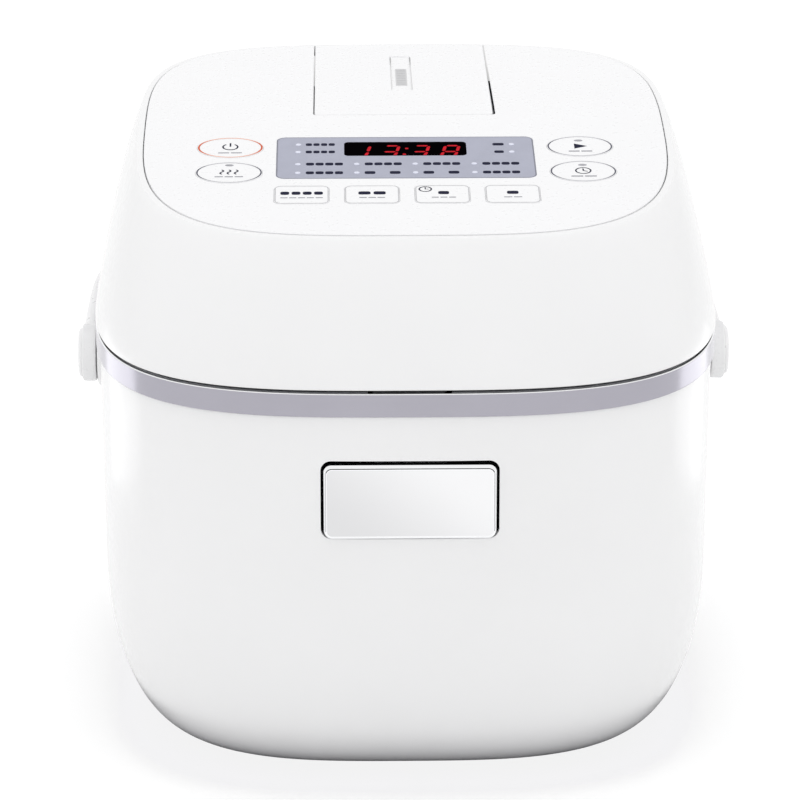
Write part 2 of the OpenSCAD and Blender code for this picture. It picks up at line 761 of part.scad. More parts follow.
module latch_bracket() {
    low = latch_pin_z - 4;
    top = deck_z - deck_t - deck_skirt;
    color(GREY) difference() {
        union() {
            for (s = [-1, 1]) block([s > 0 ? ear_x : -ear_x - ear_t, latch_pin_y - latch_pin_r - 1, low],
                                    [s > 0 ? ear_x + ear_t : -ear_x, bracket_y + 1, latch_pin_z + 5]);
            block([-ear_x - ear_t, bracket_y, low], [ear_x + ear_t, bracket_y + 2, top]);
        }
        rod_x(-lever_w, lever_w, latch_pin_y, latch_pin_z, latch_pin_r + fit_gap);
    }
}

module latch_pin() {
    color(STEEL) rod_x(-ear_x - ear_t, ear_x + ear_t, latch_pin_y, latch_pin_z, latch_pin_r);
}

module latch_spring() {
    y0 = lever_y + lever_t + 0.5;
    color(STEEL) translate([0, y0 + 0.1, latch_z + 8]) rotate([-90, 0, 0])
        coil(3.4, 0.4, 5, bracket_y - y0 - 0.7, 12, 5);
}

catch_gap = 0.5;                        // from the lid's flank to the catch
catch_t = 1.5;                          // thickness of the catch's cheeks
catch_tab = 5.5;                        // width of the tabs above the inner lid's frame
tab_t = 1.2;                            // thickness of the tabs

// Front of the catch at a height, behind the lid's sloping flank
function catch_front(z) = catch_gap - front_d + lid_wall
    + flank_in(z, top_z(-front_d) - ledge_drop, lid_in_front);

module lid_catch() {
    top = frame_z + frame_t + tab_t;
    low = lid_z + 0.3;
    rear = lever_y - 0.4;
    front = catch_front(hook_z);
    top_front = catch_front(top);
    depth = rear - front;
    in_x = lever_w / 2 + 0.6;
    color(STEEL) difference() {
        union() {
            block([-in_x - catch_t, front, low], [in_x + catch_t, rear, hook_z - gap]);
            mirrored() translate([in_x, 0, 0]) rotate([90, 0, 90]) linear_extrude(catch_t)
                polygon([[front, low], [rear, low], [rear, hook_z - gap], [top_front + depth, top],
                         [top_front, top], [front, hook_z - gap]]);
            mirrored() block([in_x, top_front, frame_z + frame_t],
                             [in_x + catch_t + catch_tab, top_front + depth, top]);
        }
        mirrored() disc(in_x + catch_t + catch_tab / 2, top_front + depth / 2, frame_z, 1.2, 6);
    }
}

// ---------- Handle ----------

module handle_seats() {
    color(WHITE) mirrored() difference() {
        rod_x(half_w - band_step, arm_x - gap, pivot_y, pivot_z, boss_r + 1.6);
        rod_x(half_w - band_step - 1, arm_x, pivot_y, pivot_z, pivot_r + 0.1);
    }
}

module handle_pivots() {
    inside = half_w - band_step - case_wall - case_draft * (band_z - pivot_z) - gap;
    color(STEEL) mirrored() {
        rod_x(inside - 2, inside, pivot_y, pivot_z, pivot_r + 3);
        rod_x(inside - 1, boss_x - 0.2, pivot_y, pivot_z, pivot_r);
    }
}

// Outline of the handle's bar seen from above, from the pivots round the back
function bail_line(hw, reach) =
    let (straight = pivot_y + arm_straight)
    concat([[hw, pivot_y]],
           [for (i = [0 : 32]) let (a = 180 * i / 32)
               [hw * spow(cos(a), bail_power),
                straight + (reach - arm_straight) * spow(sin(a), bail_power)]],
           [[-hw, pivot_y]]);

module handle_bail() {
    outer = bail_line(boss_x, handle_reach);
    inner = bail_line(arm_x, handle_reach - bar_t);
    color(WHITE) difference() {
        union() {
            difference() {
                slab(pivot_z - bar_h / 2, bar_h, outer);
                translate([0, -e, 0]) slab(pivot_z - bar_h / 2 - e, bar_h + 2 * e, inner);
            }
            mirrored() rod_x(arm_x, boss_x, pivot_y, pivot_z, boss_r);
        }
        mirrored() rod_x(arm_x - 1, boss_x + 1, pivot_y, pivot_z, pivot_r + fit_gap);
    }
}

module handle_caps() {
    color(WHITE) mirrored() translate([boss_x, pivot_y, pivot_z]) rotate([0, 90, 0])
        rotate_extrude($fn = 64) polygon([[0, 0], [boss_r, 0], [boss_r, cap_t * 0.4],
                                          [boss_r - 1, cap_t], [0, cap_t]]);
}

// ---------- Lid ----------

module lid_cover() {
    outer = [for (v = [0, 0.06, 0.14, 0.25, 0.38, 0.52, 0.66, 0.8, 0.91, 1]) lid_level(v, 0)];
    inner = [for (v = [0.93, 0.75, 0.5, 0.28, 0.1, 0]) lid_level(v, lid_wall, ledge_drop)];
    color(WHITE) difference() {
        ring_loft(concat(outer,
            [at_top(crease(rim_w), 0), at_top(crease(rim_w), panel_t),
             at_top(crease(rim_w + ledge_w), panel_t), at_top(crease(rim_w + ledge_w), ledge_drop)],
            inner));
        block([-barrel_half - gap, rear_d - 12, lid_z - 1],
              [barrel_half + gap, rear_d + 5, lid_z + arm_h + gap]);
    }
}

module cut_on_slope(x, v, depth) {
    on_slope() translate([x, v, -depth]) linear_extrude(depth + 5) children();
}

module top_panel() {
    low = panel_t - panel_proud;
    color(PANEL) difference() {
        union() {
            intersection() {
                bent_sheet(-panel_proud, low);
                column(crease(rim_w + gap));
            }
            on_slope() for (p = post_places)
                disc(p[0], p[1], -board_depth, post_r, board_depth - low + 0.5);
        }
        block([-vent_w / 2 - gap, vent_front_y - gap, lid_z], [vent_w / 2 + gap, rear_d, lid_top_z + 5]);
        for (x = [-oval_x, oval_x]) for (v = oval_v)
            cut_on_slope(x, v, low + 1) polygon(oval(oval_rx + gap, oval_ry + gap));
        for (i = [-1.5 : 1 : 1.5])
            cut_on_slope(i * key_pitch, key_v, low + 1) round_rect(key_w + 2 * gap, key_l + 2 * gap, 2.8);
        cut_on_slope(0, display_v, 1 - panel_proud) round_rect(display_w + 0.2, display_l + 0.2, 3.1);
        cut_on_slope(0, window_v, low + 1) round_rect(window_w + 0.2, window_l + 0.2, 1.6);
        on_slope() for (p = post_places) disc(p[0], p[1], -board_depth - e, 1.25, board_depth - low);
    }
}

module display_panel() {
    color(LAVENDER) difference() {
        on_slope() translate([0, display_v, panel_proud - film_t]) linear_extrude(film_t)
            round_rect(display_w, display_l, 3);
        cut_on_slope(0, window_v, 2) round_rect(window_w + 0.2, window_l + 0.2, 1.6);
    }
}

module display_lens() {
    color(DARK) on_slope() translate([0, window_v, -panel_t]) linear_extrude(panel_t + panel_proud)
        round_rect(window_w, window_l, 1.5);
}

module led_display() {
    color([0.5, 0.08, 0.08]) on_slope()
        block([-window_w / 2 + 2, window_v - window_l / 2 + 1, -board_depth],
              [window_w / 2 - 2, window_v + window_l / 2 - 1, -panel_t - 0.2]);
}

module control_board() {
    color(BOARD) on_slope() difference() {
        translate([0, (board_front + board_rear) / 2, -board_depth - board_t]) linear_extrude(board_t)
            round_rect(board_w, board_rear - board_front, 2);
        for (p = post_places) disc(p[0], p[1], -board_depth - board_t - 1, 1.5, board_t + 2);
    }
}

key_places = concat([for (x = [-oval_x, oval_x]) for (v = oval_v) [x, v]],
                    [for (i = [-1.5 : 1 : 1.5]) [i * key_pitch, key_v]]);

module tact_switches() {
    color(DARK) on_slope() for (p = key_places) {
        block([p[0] - 3, p[1] - 3, -board_depth], [p[0] + 3, p[1] + 3, -board_depth + switch_h]);
        disc(p[0], p[1], -board_depth + switch_h - e, 1.7, 0.6);
    }
}

module board_screws() {
    color(STEEL) on_slope() for (p = post_places) {
        disc(p[0], p[1], -board_depth - board_t - 1.6, 2.6, 1.6);
        disc(p[0], p[1], -board_depth - board_t - 0.5, 1.2, board_t + 5);
    }
}

module inner_lid_frame() {
    in = lid_wall + 0.9;
    color(GREY) difference() {
        union() {
            slab(frame_z, frame_t, outline(half_w - in, front_d - in, rear_d - in, corner_power));
            translate([0, steam_y, frame_z]) cylinder(h = frame_t + 3, r = steam_r + 4, $fn = 64);
        }
        disc(0, steam_y, frame_z - 1, steam_r - 5, frame_t + 6);
        disc(0, steam_y, frame_z + frame_t, steam_r + 1.6, 4);
        block([-lever_w / 2 - 2.4, -front_d, frame_z - 1],
              [lever_w / 2 + 2.4, slot_rear, frame_z + frame_t + 1]);
        block([-barrel_half - gap, rear_d - lid_wall - 2.4, frame_z - 1],
              [barrel_half + gap, rear_d, frame_z + frame_t + 1]);
    }
}

module inner_lid_plate() {
    r = pot_rim_r - 1.4;
    color(STEEL) difference() {
        translate([0, 0, frame_z - lid_plate_t]) cylinder(h = lid_plate_t, r = r, $fn = 128);
        disc(0, steam_y, frame_z - 2, steam_r - 7, 3);
        for (a = [0 : 60 : 300]) disc(16 * cos(a), 16 * sin(a), frame_z - 2, 2, 3);
    }
}

module lid_gasket() {
    low = pot_rim_z + gap;
    in_r = pot_rim_r - 5;
    out_r = pot_rim_r + 0.9;
    plate_r = pot_rim_r - 1.3;
    color(RUBBER) rotate_extrude($fn = 128) polygon([[in_r, low], [out_r, low], [out_r, frame_z],
        [plate_r, frame_z], [plate_r, frame_z - 1.3], [in_r, frame_z - 1.3]]);
}

module vent_well() {
    x = vent_w / 2 + 1.6;
    y0 = vent_front_y - 1.6;
    y1 = well_rear_y;
    pipe_low = frame_z + frame_t;
    color(WHITE) difference() {
        union() {
            block([-x, y0, well_z], [x, y1, well_top]);
            disc(0, steam_y, pipe_low, steam_r + 1.5, well_z - pipe_low + 1);
        }
        block([-x + well_wall, y0 + well_wall, well_z + 1.5],
              [x - well_wall, y1 - well_wall, well_top + e]);
        disc(0, steam_y, pipe_low - e, steam_r, well_z - pipe_low + 3);
    }
}

// ---------- Steam vent cap ----------

slot_half = 3.75;
slot_front = 38.5;
slot_back = 90;
grille_half = 2.05;
grille_front = 46.4;
grille_back = 71.5;
collar_r = steam_r - 1.2;

module vent_cap() {
    lip_x = vent_w / 2 + 1.6 - well_wall - gap;
    lip_y0 = vent_front_y - 1.6 + well_wall + gap;
    lip_y1 = well_rear_y - well_wall - gap;
    lip_z = lid_top_z - cap_lip_h;
    color(WHITE) difference() {
        union() {
            intersection() {
                bent_sheet(-panel_proud, cap_plate_t);
                column(crease(rim_w + gap));
                block([-vent_w / 2, vent_front_y, lid_z], [vent_w / 2, rear_d, lid_top_z + 5]);
            }
            difference() {
                block([-lip_x, lip_y0, lip_z], [lip_x, lip_y1, lid_top_z - 1]);
                block([-lip_x + 1.5, lip_y0 + 1.5, lip_z - 1], [lip_x - 1.5, lip_y1 - 1.5, lid_top_z]);
            }
            disc(0, steam_y, well_z - 4, collar_r, lid_top_z - 1 - well_z + 4);
        }
        disc(0, steam_y, well_z - 5, collar_r - 1.5, lid_top_z - 2 - well_z + 5);
        block([-slot_half, slot_front, lid_top_z - 0.8], [slot_half, slot_back, lid_top_z + 5]);
        block([-grille_half, grille_front, lid_top_z - 10], [grille_half, grille_back, lid_top_z + 5]);
    }
}

module vent_insert() {
    x = grille_half - fit_gap;
    z = lid_top_z - cap_plate_t - 0.6;
    color(GREY) difference() {
        union() {
            block([-x, grille_front + fit_gap, z], [x, grille_back - fit_gap, lid_top_z - 1.2]);
            block([-x - 1.5, steam_y - collar_r + 2.4, z - 0.8], [x + 1.5, steam_y + collar_r - 2.4, z]);
        }
        for (i = [0 : 4])
            block([-1.2, grille_front + 3 + i * 4.4, z - 1], [1.2, grille_front + 5 + i * 4.4, lid_top_z]);
    }
}

module vent_packing() {
    z = well_z - 3;
    color(RUBBER) translate([0, steam_y, z]) rotate_extrude($fn = 64) polygon([[collar_r + 0.02, 0],
        [collar_r + 0.5, 0], [steam_r - gap, 1.6], [collar_r + 0.5, 3.2], [collar_r + 0.02, 3.2]]);
}

// ---------- Buttons ----------

module key_under(x, v) {
    low = panel_t - panel_proud;
    on_slope() disc(x, v, -board_depth + switch_h + 0.6 + key_travel + 0.2, stem_r,
                    board_depth - switch_h - 0.6 - key_travel - 0.2 - low);
}

module oval_key(x, v) {
    low = panel_t - panel_proud;
    union() {
        on_slope() translate([x, v, -low - flange_drop])
            linear_extrude(low + flange_drop + key_top) polygon(oval(oval_rx, oval_ry));
        on_slope() translate([x, v, -low - flange_drop - flange_t]) linear_extrude(flange_t)
            polygon(oval(oval_rx + 0.9, oval_ry + 0.9));
        key_under(x, v);
    }
}

module square_key(i) {
    low = panel_t - panel_proud;
    x = i * key_pitch;
    union() {
        on_slope() translate([x, key_v, -low - flange_drop])
            linear_extrude(low + flange_drop + key_top) round_rect(key_w, key_l, 2.5);
        on_slope() translate([x, key_v, -low - flange_drop - flange_t]) linear_extrude(flange_t)
            round_rect(key_w + 1.8, key_l + 1.8, 3);
        key_under(x, key_v);
    }
}

module off_button() { color(ORANGE) oval_key(-oval_x, oval_v[0]); }
module keep_warm_button() { color(PANEL) oval_key(-oval_x, oval_v[1]); }
module start_button() { color(PANEL) oval_key(oval_x, oval_v[0]); }
module timer_button() { color(PANEL) oval_key(oval_x, oval_v[1]); }
module preset_button() { color(PANEL) square_key(-1.5); }
module menu_button() { color(PANEL) square_key(-0.5); }
module hour_button() { color(PANEL) square_key(0.5); }
module minute_button() { color(PANEL) square_key(1.5); }

// Moves the model so that its origin is under the middle of its whole depth
module in_frame() {
    translate([0, -centre_y, 0]) children();
}

in_frame() outer_case();
in_frame() silver_band();
in_frame() base_plate();
in_frame() rubber_feet();
in_frame() base_screws();
in_frame() upper_frame();
in_frame() inner_liner();
in_frame() inner_pot();
in_frame() heater_plate();
in_frame() liner_support();
in_frame() sensor_cap();
in_frame() sensor_spring();
in_frame() sensor_holder();
in_frame() power_board();
in_frame() transformer();
in_frame() relay();
in_frame() thermal_fuse();
in_frame() power_inlet();
in_frame() inlet_pins();
in_frame() hinge_housing();
in_frame() hinge_pin();
in_frame() hinge_spring();
in_frame() latch_bezel();
in_frame() latch_bracket();
in_frame() latch_pin();
in_frame() latch_spring();
in_frame() latch_button();
in_frame() latch_lever();
in_frame() handle_seats();
in_frame() handle_pivots();
in_frame() handle_bail();
in_frame() handle_caps();
in_frame() lid_cover();
in_frame() top_panel();
in_frame() display_panel();
in_frame() display_lens();
in_frame() led_display();
in_frame() control_board();
in_frame() tact_switches();
in_frame() board_screws();
in_frame() inner_lid_frame();
in_frame() inner_lid_plate();
in_frame() lid_gasket();
in_frame() vent_well();
in_frame() lid_catch();
in_frame() hinge_arm();
in_frame() vent_cap();
in_frame() vent_insert();
in_frame() vent_packing();
in_frame() off_button();
in_frame() keep_warm_button();
in_frame() start_button();
in_frame() timer_button();
in_frame() preset_button();
in_frame() menu_button();
in_frame() hour_button();
in_frame() minute_button();
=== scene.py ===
import json
import math

import bmesh
import bpy
import numpy as np
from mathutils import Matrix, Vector
from mathutils.geometry import delaunay_2d_cdt

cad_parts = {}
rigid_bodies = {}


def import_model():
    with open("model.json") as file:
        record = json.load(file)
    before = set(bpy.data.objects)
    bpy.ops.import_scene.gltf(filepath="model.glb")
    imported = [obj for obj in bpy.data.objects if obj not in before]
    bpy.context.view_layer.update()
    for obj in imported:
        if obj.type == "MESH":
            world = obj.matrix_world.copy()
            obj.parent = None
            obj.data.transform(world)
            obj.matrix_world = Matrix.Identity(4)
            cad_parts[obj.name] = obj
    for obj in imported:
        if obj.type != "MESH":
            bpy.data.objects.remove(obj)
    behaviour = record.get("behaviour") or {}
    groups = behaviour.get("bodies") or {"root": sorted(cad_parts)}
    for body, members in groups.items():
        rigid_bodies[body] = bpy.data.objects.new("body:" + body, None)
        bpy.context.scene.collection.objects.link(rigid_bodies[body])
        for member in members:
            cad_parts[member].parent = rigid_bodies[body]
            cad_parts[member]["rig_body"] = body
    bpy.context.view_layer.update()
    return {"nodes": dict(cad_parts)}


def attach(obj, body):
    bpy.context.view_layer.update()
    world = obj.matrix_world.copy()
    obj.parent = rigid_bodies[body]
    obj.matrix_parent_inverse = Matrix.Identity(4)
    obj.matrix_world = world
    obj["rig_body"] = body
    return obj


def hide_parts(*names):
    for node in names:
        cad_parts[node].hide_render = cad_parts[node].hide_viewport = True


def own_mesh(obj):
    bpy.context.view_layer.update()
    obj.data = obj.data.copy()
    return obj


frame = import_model()
scene = bpy.context.scene

# ---------- Sizes in millimetres about the middle of the body; P() puts them in the frame ---------

MIDDLE_Y = -17.0  # the body's middle in the frame
HALF_W, FRONT, REAR = 106.0, 121.0, 120.0
BODY_P, CREASE_P = 3.25, 3.6  # powers of the superelliptic outlines
BAND_Z, DECK_Z, LID_Z, TOP_Z = 133.3, 141.3, 142.3, 202.1
BAND_STEP, WALL, DRAFT = 1.2, 2.5, 0.01  # draft: the case's slope inwards, going down
FOOT_Z, FOOT_H, FOOT_P = 62.0, 60.0, 2.2  # where the case starts to turn in, and how
FOOT_SIDE, FOOT_FRONT = 25.7, 30.6  # how far the foot turns in
IN_SIDE, IN_FRONT, IN_REAR = 15.2, 19.9, 9.0
LID_P = 1.21  # power of the lid's flank
BEND_Y, BEND_HALF, SLOPE = 6.0, 12.0, 0.135
COS = 1 / math.hypot(1, SLOPE)
CREASE = (90.8, 101.1, 111.0)  # half width, front and rear of the edge of the lid's top
RIM, PANEL_IN = 2.0, 2.3  # from that edge to the recess, and to the panel in it
LATCH_Z, LATCH_W, LATCH_H, LATCH_R, LATCH_GAP = 104.7, 56.0, 24.8, 2.4, 1.0
INLET_Z = 82.0


def P(points):
    """Local millimetres to metres in the shared frame."""
    a = np.asarray(points, float).reshape(-1, 3)
    return np.column_stack([a[:, 0], a[:, 1] + MIDDLE_Y, a[:, 2]]) / 1000.0


def spow(v, p):
    """Signed power that draws a superellipse."""
    return np.sign(v) * np.abs(v) ** (2.0 / p)


def top_z(y):
    """Height of the lid's top, level at the rear and falling to the front past a soft bend."""
    y = np.asarray(y, float)
    low, high = BEND_Y - BEND_HALF, BEND_Y + BEND_HALF
    turn = (high - y) ** 2 / (4 * BEND_HALF)
    fall = np.where(y >= high, 0.0, np.where(y <= low, BEND_Y - y, turn))
    return TOP_Z - SLOPE * fall


def deck(points):
    """From the flat layout of the lid's top (x, y, height) to the bent top."""
    a = np.asarray(points, float).reshape(-1, 3).copy()
    a[:, 2] += top_z(a[:, 1])
    return a


def dy(v):
    """Place along y of a distance v up the slope from the bend."""
    return BEND_Y + v * COS


def even(points, n):
    """n points at even steps along an open line."""
    p = np.asarray(points, float)
    s = np.concatenate([[0], np.cumsum(np.linalg.norm(np.diff(p, axis=0), axis=1))])
    t = np.linspace(0, s[-1], n)
    return np.column_stack([np.interp(t, s, p[:, k]) for k in range(p.shape[1])])


def outline(hw, front, rear, p, n=320):
    """Superelliptic outline seen from above, with even steps in each quarter."""
    out = []
    for k in range(4):
        a = np.radians(np.linspace(90 * k, 90 * (k + 1), 160))
        reach = np.where(np.sin(a) < 0, front, rear)
        q = np.column_stack([hw * spow(np.cos(a), p), reach * spow(np.sin(a), p)])
        out.append(even(q, n // 4 + 1)[:-1])
    return np.vstack(out)


def body_line(d):
    """Outline of the band and of the lid's foot, drawn in by d."""
    return outline(HALF_W - d, FRONT - d, REAR - d, BODY_P)


def crease(d):
    """Outline of the edge round the lid's top, drawn in by d."""
    return outline(*(v - d for v in CREASE), CREASE_P)


def ring(flat, z):
    """A flat outline at height z, which is one number or one for each point."""
    flat = np.asarray(flat, float)
    return np.column_stack([flat, np.full(len(flat), z) if np.isscalar(z) else z])


def front_ring(shape, d, y):
    """A shape in x and z, drawn in by d, at depth y."""
    q = shape(d)
    return np.column_stack([q[:, 0], np.full(len(q), y), q[:, 1]])


def round_rect(cx, cy, w, l, r, steps=8):
    """Function of an inset that gives a rounded rectangle's points."""
    def at(d):
        pts = []
        rr = max(r - d, 0.05)
        for qx, qy, a0 in ((1, 1, 0), (-1, 1, 90), (-1, -1, 180), (1, -1, 270)):
            mx, my = cx + qx * (w / 2 - d - rr), cy + qy * (l / 2 - d - rr)
            for i in range(steps + 1):
                a = math.radians(a0 + 90 * i / steps)
                pts.append((mx + rr * math.cos(a), my + rr * math.sin(a)))
        return np.array(pts)
    return at


def oval(cx, cy, rx, ry, n=96):
    """Function of an inset that gives an oval's points."""
    def at(d):
        a = np.radians(np.arange(n) * 360 / n)
        return np.column_stack([cx + (rx - d) * np.cos(a), cy + (ry - d) * np.sin(a)])
    return at


def grown(shape, g):
    """The same shape, larger by g all round."""
    return lambda d: shape(d - g)


# ---------- Materials ----------

def node(tree, kind, **values):
    """A shader node, with its inputs set or linked and its properties set by name."""
    n = tree.nodes.new("ShaderNode" + kind)
    for k, v in values.items():
        if k in n.inputs:
            set_or_link(tree, n.inputs[k], v)
        else:
            setattr(n, k, v)
    return n


def set_or_link(tree, socket, v):
    """Gives a socket a value, or links another socket to it."""
    if isinstance(v, bpy.types.NodeSocket):
        tree.links.new(v, socket)
    else:
        socket.default_value = v


def feed(tree, n, *values):
    """Sets or links a node's first inputs, in their order."""
    for socket, v in zip(n.inputs, values):
        set_or_link(tree, socket, v)
    return n


def noise(tree, vector, scale, detail=3, rough=0.5):
    n = node(tree, "TexNoise", Vector=vector, Scale=scale, Detail=detail, Roughness=rough)
    return n.outputs["Fac"]


def ranged(tree, value, low, high, start=0.0, end=1.0, soft=False):
    """Maps a value that runs from start to end to the range from low to high."""
    n = node(tree, "MapRange", interpolation_type="SMOOTHSTEP" if soft else "LINEAR")
    return feed(tree, n, value, start, end, low, high).outputs["Result"]


def spread(tree, value, low, high):
    """Maps a noise of about 0.3 to 0.7 to the range from low to high."""
    return ranged(tree, value, low, high, 0.3, 0.7)


def calc(tree, operation, a, b=0.0):
    """One step of arithmetic between two sockets or numbers."""
    return feed(tree, node(tree, "Math", operation=operation), a, b).outputs[0]


def mix(tree, fac, a, b, blend="MIX"):
    n = node(tree, "Mix", data_type="RGBA", blend_type=blend)
    for k, v in ((0, fac), (6, a), (7, b)):
        set_or_link(tree, n.inputs[k], (*v, 1) if isinstance(v, tuple) else v)
    return n.outputs[2]


def place_of(tree):
    """A point's place in the frame, in metres."""
    return node(tree, "TexCoord").outputs["Object"]


def base_of(material):
    """The tree, the base color socket and what is linked to it."""
    socket = material.node_tree.nodes["Principled BSDF"].inputs["Base Color"]
    return material.node_tree, socket, socket.links[0].from_socket


def finish_of(name, color, rough, metallic=0, vary=0.02, rough_vary=0.04, grain=900, bump=0.02,
              depth=0.0002, tone=30, coat=0, stretch=None, dark=None, spec=0.5):
    """A moulded, painted or plated surface.

    It has a slow drift of tone, patches of roughness, and a fine grain in the bump."""
    m = bpy.data.materials.new(name)
    m.use_nodes = True
    t = m.node_tree
    where = fine = place_of(t)
    if stretch:
        fine = node(t, "Mapping", Vector=where, Scale=stretch).outputs["Vector"]
    low = tuple(c * (1 - vary) for c in (dark or color))
    high = tuple(min(c * (1 + vary), 1.0) for c in color)
    patches = noise(t, fine, grain * 0.25)
    b = node(t, "Bump", Strength=bump, Distance=depth, Height=noise(t, fine, grain, 4, 0.6))
    values = {
        "Base Color": mix(t, spread(t, noise(t, where, tone), 0, 1), low, high),
        "Roughness": spread(t, patches, max(rough - rough_vary, 0.02), rough + rough_vary),
        "Normal": b.outputs["Normal"], "Metallic": metallic, "Specular IOR Level": spec}
    if coat:
        values.update({"Coat Weight": coat, "Coat Roughness": 0.08})
    for k, v in values.items():
        set_or_link(t, t.nodes["Principled BSDF"].inputs[k], v)
    return m


def ring_ink_and_shade(name, strong, faint, centre_x, half):
    """A ring round a key's edge, strong at its two ends and faint above and below: print on the off
    key, and partly print and partly painted shade of the gap round the other keys.
    """
    m = finish_of(name, strong, 0.55, vary=0.04, tone=700, grain=7000, bump=0.08, spec=0.1)
    t, base, old = base_of(m)
    x = node(t, "SeparateXYZ", Vector=place_of(t)).outputs[0]
    off = calc(t, "ABSOLUTE", calc(t, "SUBTRACT", x, centre_x / 1000))
    away = ranged(t, off, 0, 1, half * 0.45 / 1000, half * 0.98 / 1000, soft=True)
    t.links.new(mix(t, away, faint, old), base)
    return m


def glow(name, color, strength):
    """Lit segments, a little uneven along their length."""
    m = finish_of(name, tuple(c * 0.2 for c in color), 0.5, vary=0.05, tone=500, grain=4000,
                  bump=0.05, spec=0.02)
    t = m.node_tree
    bsdf = t.nodes["Principled BSDF"]
    uneven = spread(t, noise(t, place_of(t), 420.0), 0, 1)
    t.links.new(mix(t, uneven, tuple(c * 0.6 for c in color), color), bsdf.inputs["Emission Color"])
    bsdf.inputs["Emission Strength"].default_value = strength
    return m


def drift(m, low, high, direction, start, end):
    """Lets a colour drift across a piece from low to high, along a direction in the frame."""
    t, base, old = base_of(m)
    dot = feed(t, node(t, "VectorMath", operation="DOT_PRODUCT"), place_of(t), direction)
    tint = mix(t, ranged(t, dot.outputs["Value"], 0, 1, start, end, soft=True), low, high)
    t.links.new(mix(t, 1.0, old, tint, "MULTIPLY"), base)
    return m


def shadow_line(name, front, rear, start, end):
    """Painted shade for a narrow gap or line, from its tone at the front to its tone at the rear.
    """
    m = finish_of(name, (1, 1, 1), 0.6, vary=0.02, spec=0.05)
    return drift(m, (front,) * 3, (rear,) * 3, (0, 1, 0), start, end)


WHITE = finish_of(
    "white_plastic", (0.875, 0.875, 0.88), 0.22, vary=0.006, grain=2400, bump=0.01, coat=0.06,
    spec=0.32)
PANEL = finish_of(
    "panel_plastic", (0.89, 0.89, 0.9), 0.3, vary=0.004, grain=1800, bump=0.002, spec=0.35)
HANDLE = finish_of("handle_plastic", (0.87, 0.87, 0.875), 0.3, vary=0.006, grain=1800, bump=0.004)
SILVER = finish_of(
    "silver_paint", (0.4, 0.39, 0.44), 0.17, metallic=0.85, vary=0.03, grain=9000, bump=0.1,
    depth=0.00006)
CHROME = finish_of(
    "chrome_plate", (0.9, 0.905, 0.915), 0.06, metallic=1, vary=0.006, rough_vary=0.02,
    grain=500, bump=0.01)
STEEL = finish_of(
    "zinc_steel", (0.6, 0.61, 0.63), 0.34, metallic=1, vary=0.05, rough_vary=0.08, grain=2500,
    bump=0.08, stretch=(1, 0.08, 1))
POT = finish_of(
    "pot_metal", (0.66, 0.66, 0.675), 0.3, metallic=1, vary=0.015, rough_vary=0.03, grain=2600,
    bump=0.02)
COATING = finish_of(
    "pot_coating", (0.05, 0.051, 0.056), 0.34, vary=0.12, rough_vary=0.05, tone=700, grain=4200,
    bump=0.03, dark=(0.036, 0.036, 0.04))
MARK = finish_of("pot_marks", (0.5, 0.5, 0.5), 0.5, vary=0.05, tone=500, grain=4000, bump=0.02)
CAST = finish_of(
    "cast_metal", (0.5, 0.5, 0.51), 0.5, metallic=1, vary=0.06, rough_vary=0.1, grain=1500,
    bump=0.4)
DARK = finish_of("dark_plastic", (0.012, 0.012, 0.014), 0.45, vary=0.15, grain=3200, bump=0.2)
# Near-black: painted shade in the seam at the band's top, the latch's groove and the gaps beside
# the vent; also the latch's frame.
BLACK = finish_of(
    "gap_black", (0.003, 0.003, 0.004), 0.7, vary=0.15, grain=3200, bump=0.2, spec=0.1)
GREY = finish_of("grey_plastic", (0.42, 0.43, 0.46), 0.45, vary=0.03, grain=3000, bump=0.2)
DECK = finish_of("deck_plastic", (0.3, 0.305, 0.325), 0.42, vary=0.03, grain=3000, bump=0.1)
RUBBER = finish_of("black_rubber", (0.02, 0.02, 0.021), 0.75, vary=0.2, grain=2600, bump=0.4)
SILICONE = finish_of("grey_rubber", (0.36, 0.36, 0.375), 0.6, vary=0.04, grain=2200, bump=0.2)
FILM = finish_of(
    "display_film", (0.39, 0.402, 0.49), 0.35, vary=0.03, tone=160, grain=7000, bump=0.05,
    depth=0.00005, spec=0.2)
FILM_EDGE = finish_of(
    "film_edge", (0.17, 0.175, 0.23), 0.35, vary=0.06, tone=300, grain=7000, bump=0.05)
LENS = finish_of(
    "dark_lens", (0.0015, 0.001, 0.0015), 0.16, vary=0.2, grain=900, bump=0.01, spec=0.0)
BOARD = finish_of(
    "circuit_board", (0.02, 0.14, 0.06), 0.35, vary=0.25, tone=220, grain=3000, bump=0.3)
BLUE = finish_of("relay_blue", (0.03, 0.1, 0.34), 0.3, vary=0.05, grain=1800, bump=0.1)
COPPER = finish_of(
    "winding_copper", (0.62, 0.29, 0.12), 0.4, metallic=1, vary=0.1, grain=2400, bump=0.5,
    stretch=(0.1, 1, 1))
BRASS = finish_of(
    "brass_pin", (0.72, 0.55, 0.24), 0.28, metallic=1, vary=0.05, grain=1800, bump=0.05)
INK = finish_of(
    "print_ink", (0.012, 0.013, 0.035), 0.6, vary=0.2, tone=900, grain=7000, bump=0.1, spec=0.05)
PALE_INK = finish_of(
    "pale_ink", (0.34, 0.34, 0.37), 0.6, vary=0.06, tone=900, grain=7000, bump=0.1, spec=0.1)
# Grey outline round the square keys, partly print and partly painted shade of the gap round them;
# on the vent grille, painted shade of its slots.
EDGE_INK_AND_SHADE = finish_of(
    "outline_ink_and_shade", (0.5, 0.5, 0.515), 0.55, vary=0.08, tone=700, grain=7000, bump=0.08)
SOFT_GREY = finish_of(
    "soft_grey_plastic", (0.6, 0.6, 0.61), 0.4, vary=0.02, grain=3000, bump=0.1, spec=0.3)
LAMP = finish_of("lamp_cap", (0.72, 0.74, 0.86), 0.25, vary=0.03, tone=600, grain=4000, bump=0.05)
PILL = finish_of("lamp_pill", (0.33, 0.33, 0.36), 0.3, vary=0.06, tone=600, grain=4000, bump=0.05)
RED = glow("led_red", (0.62, 0.008, 0.02), 0.9)
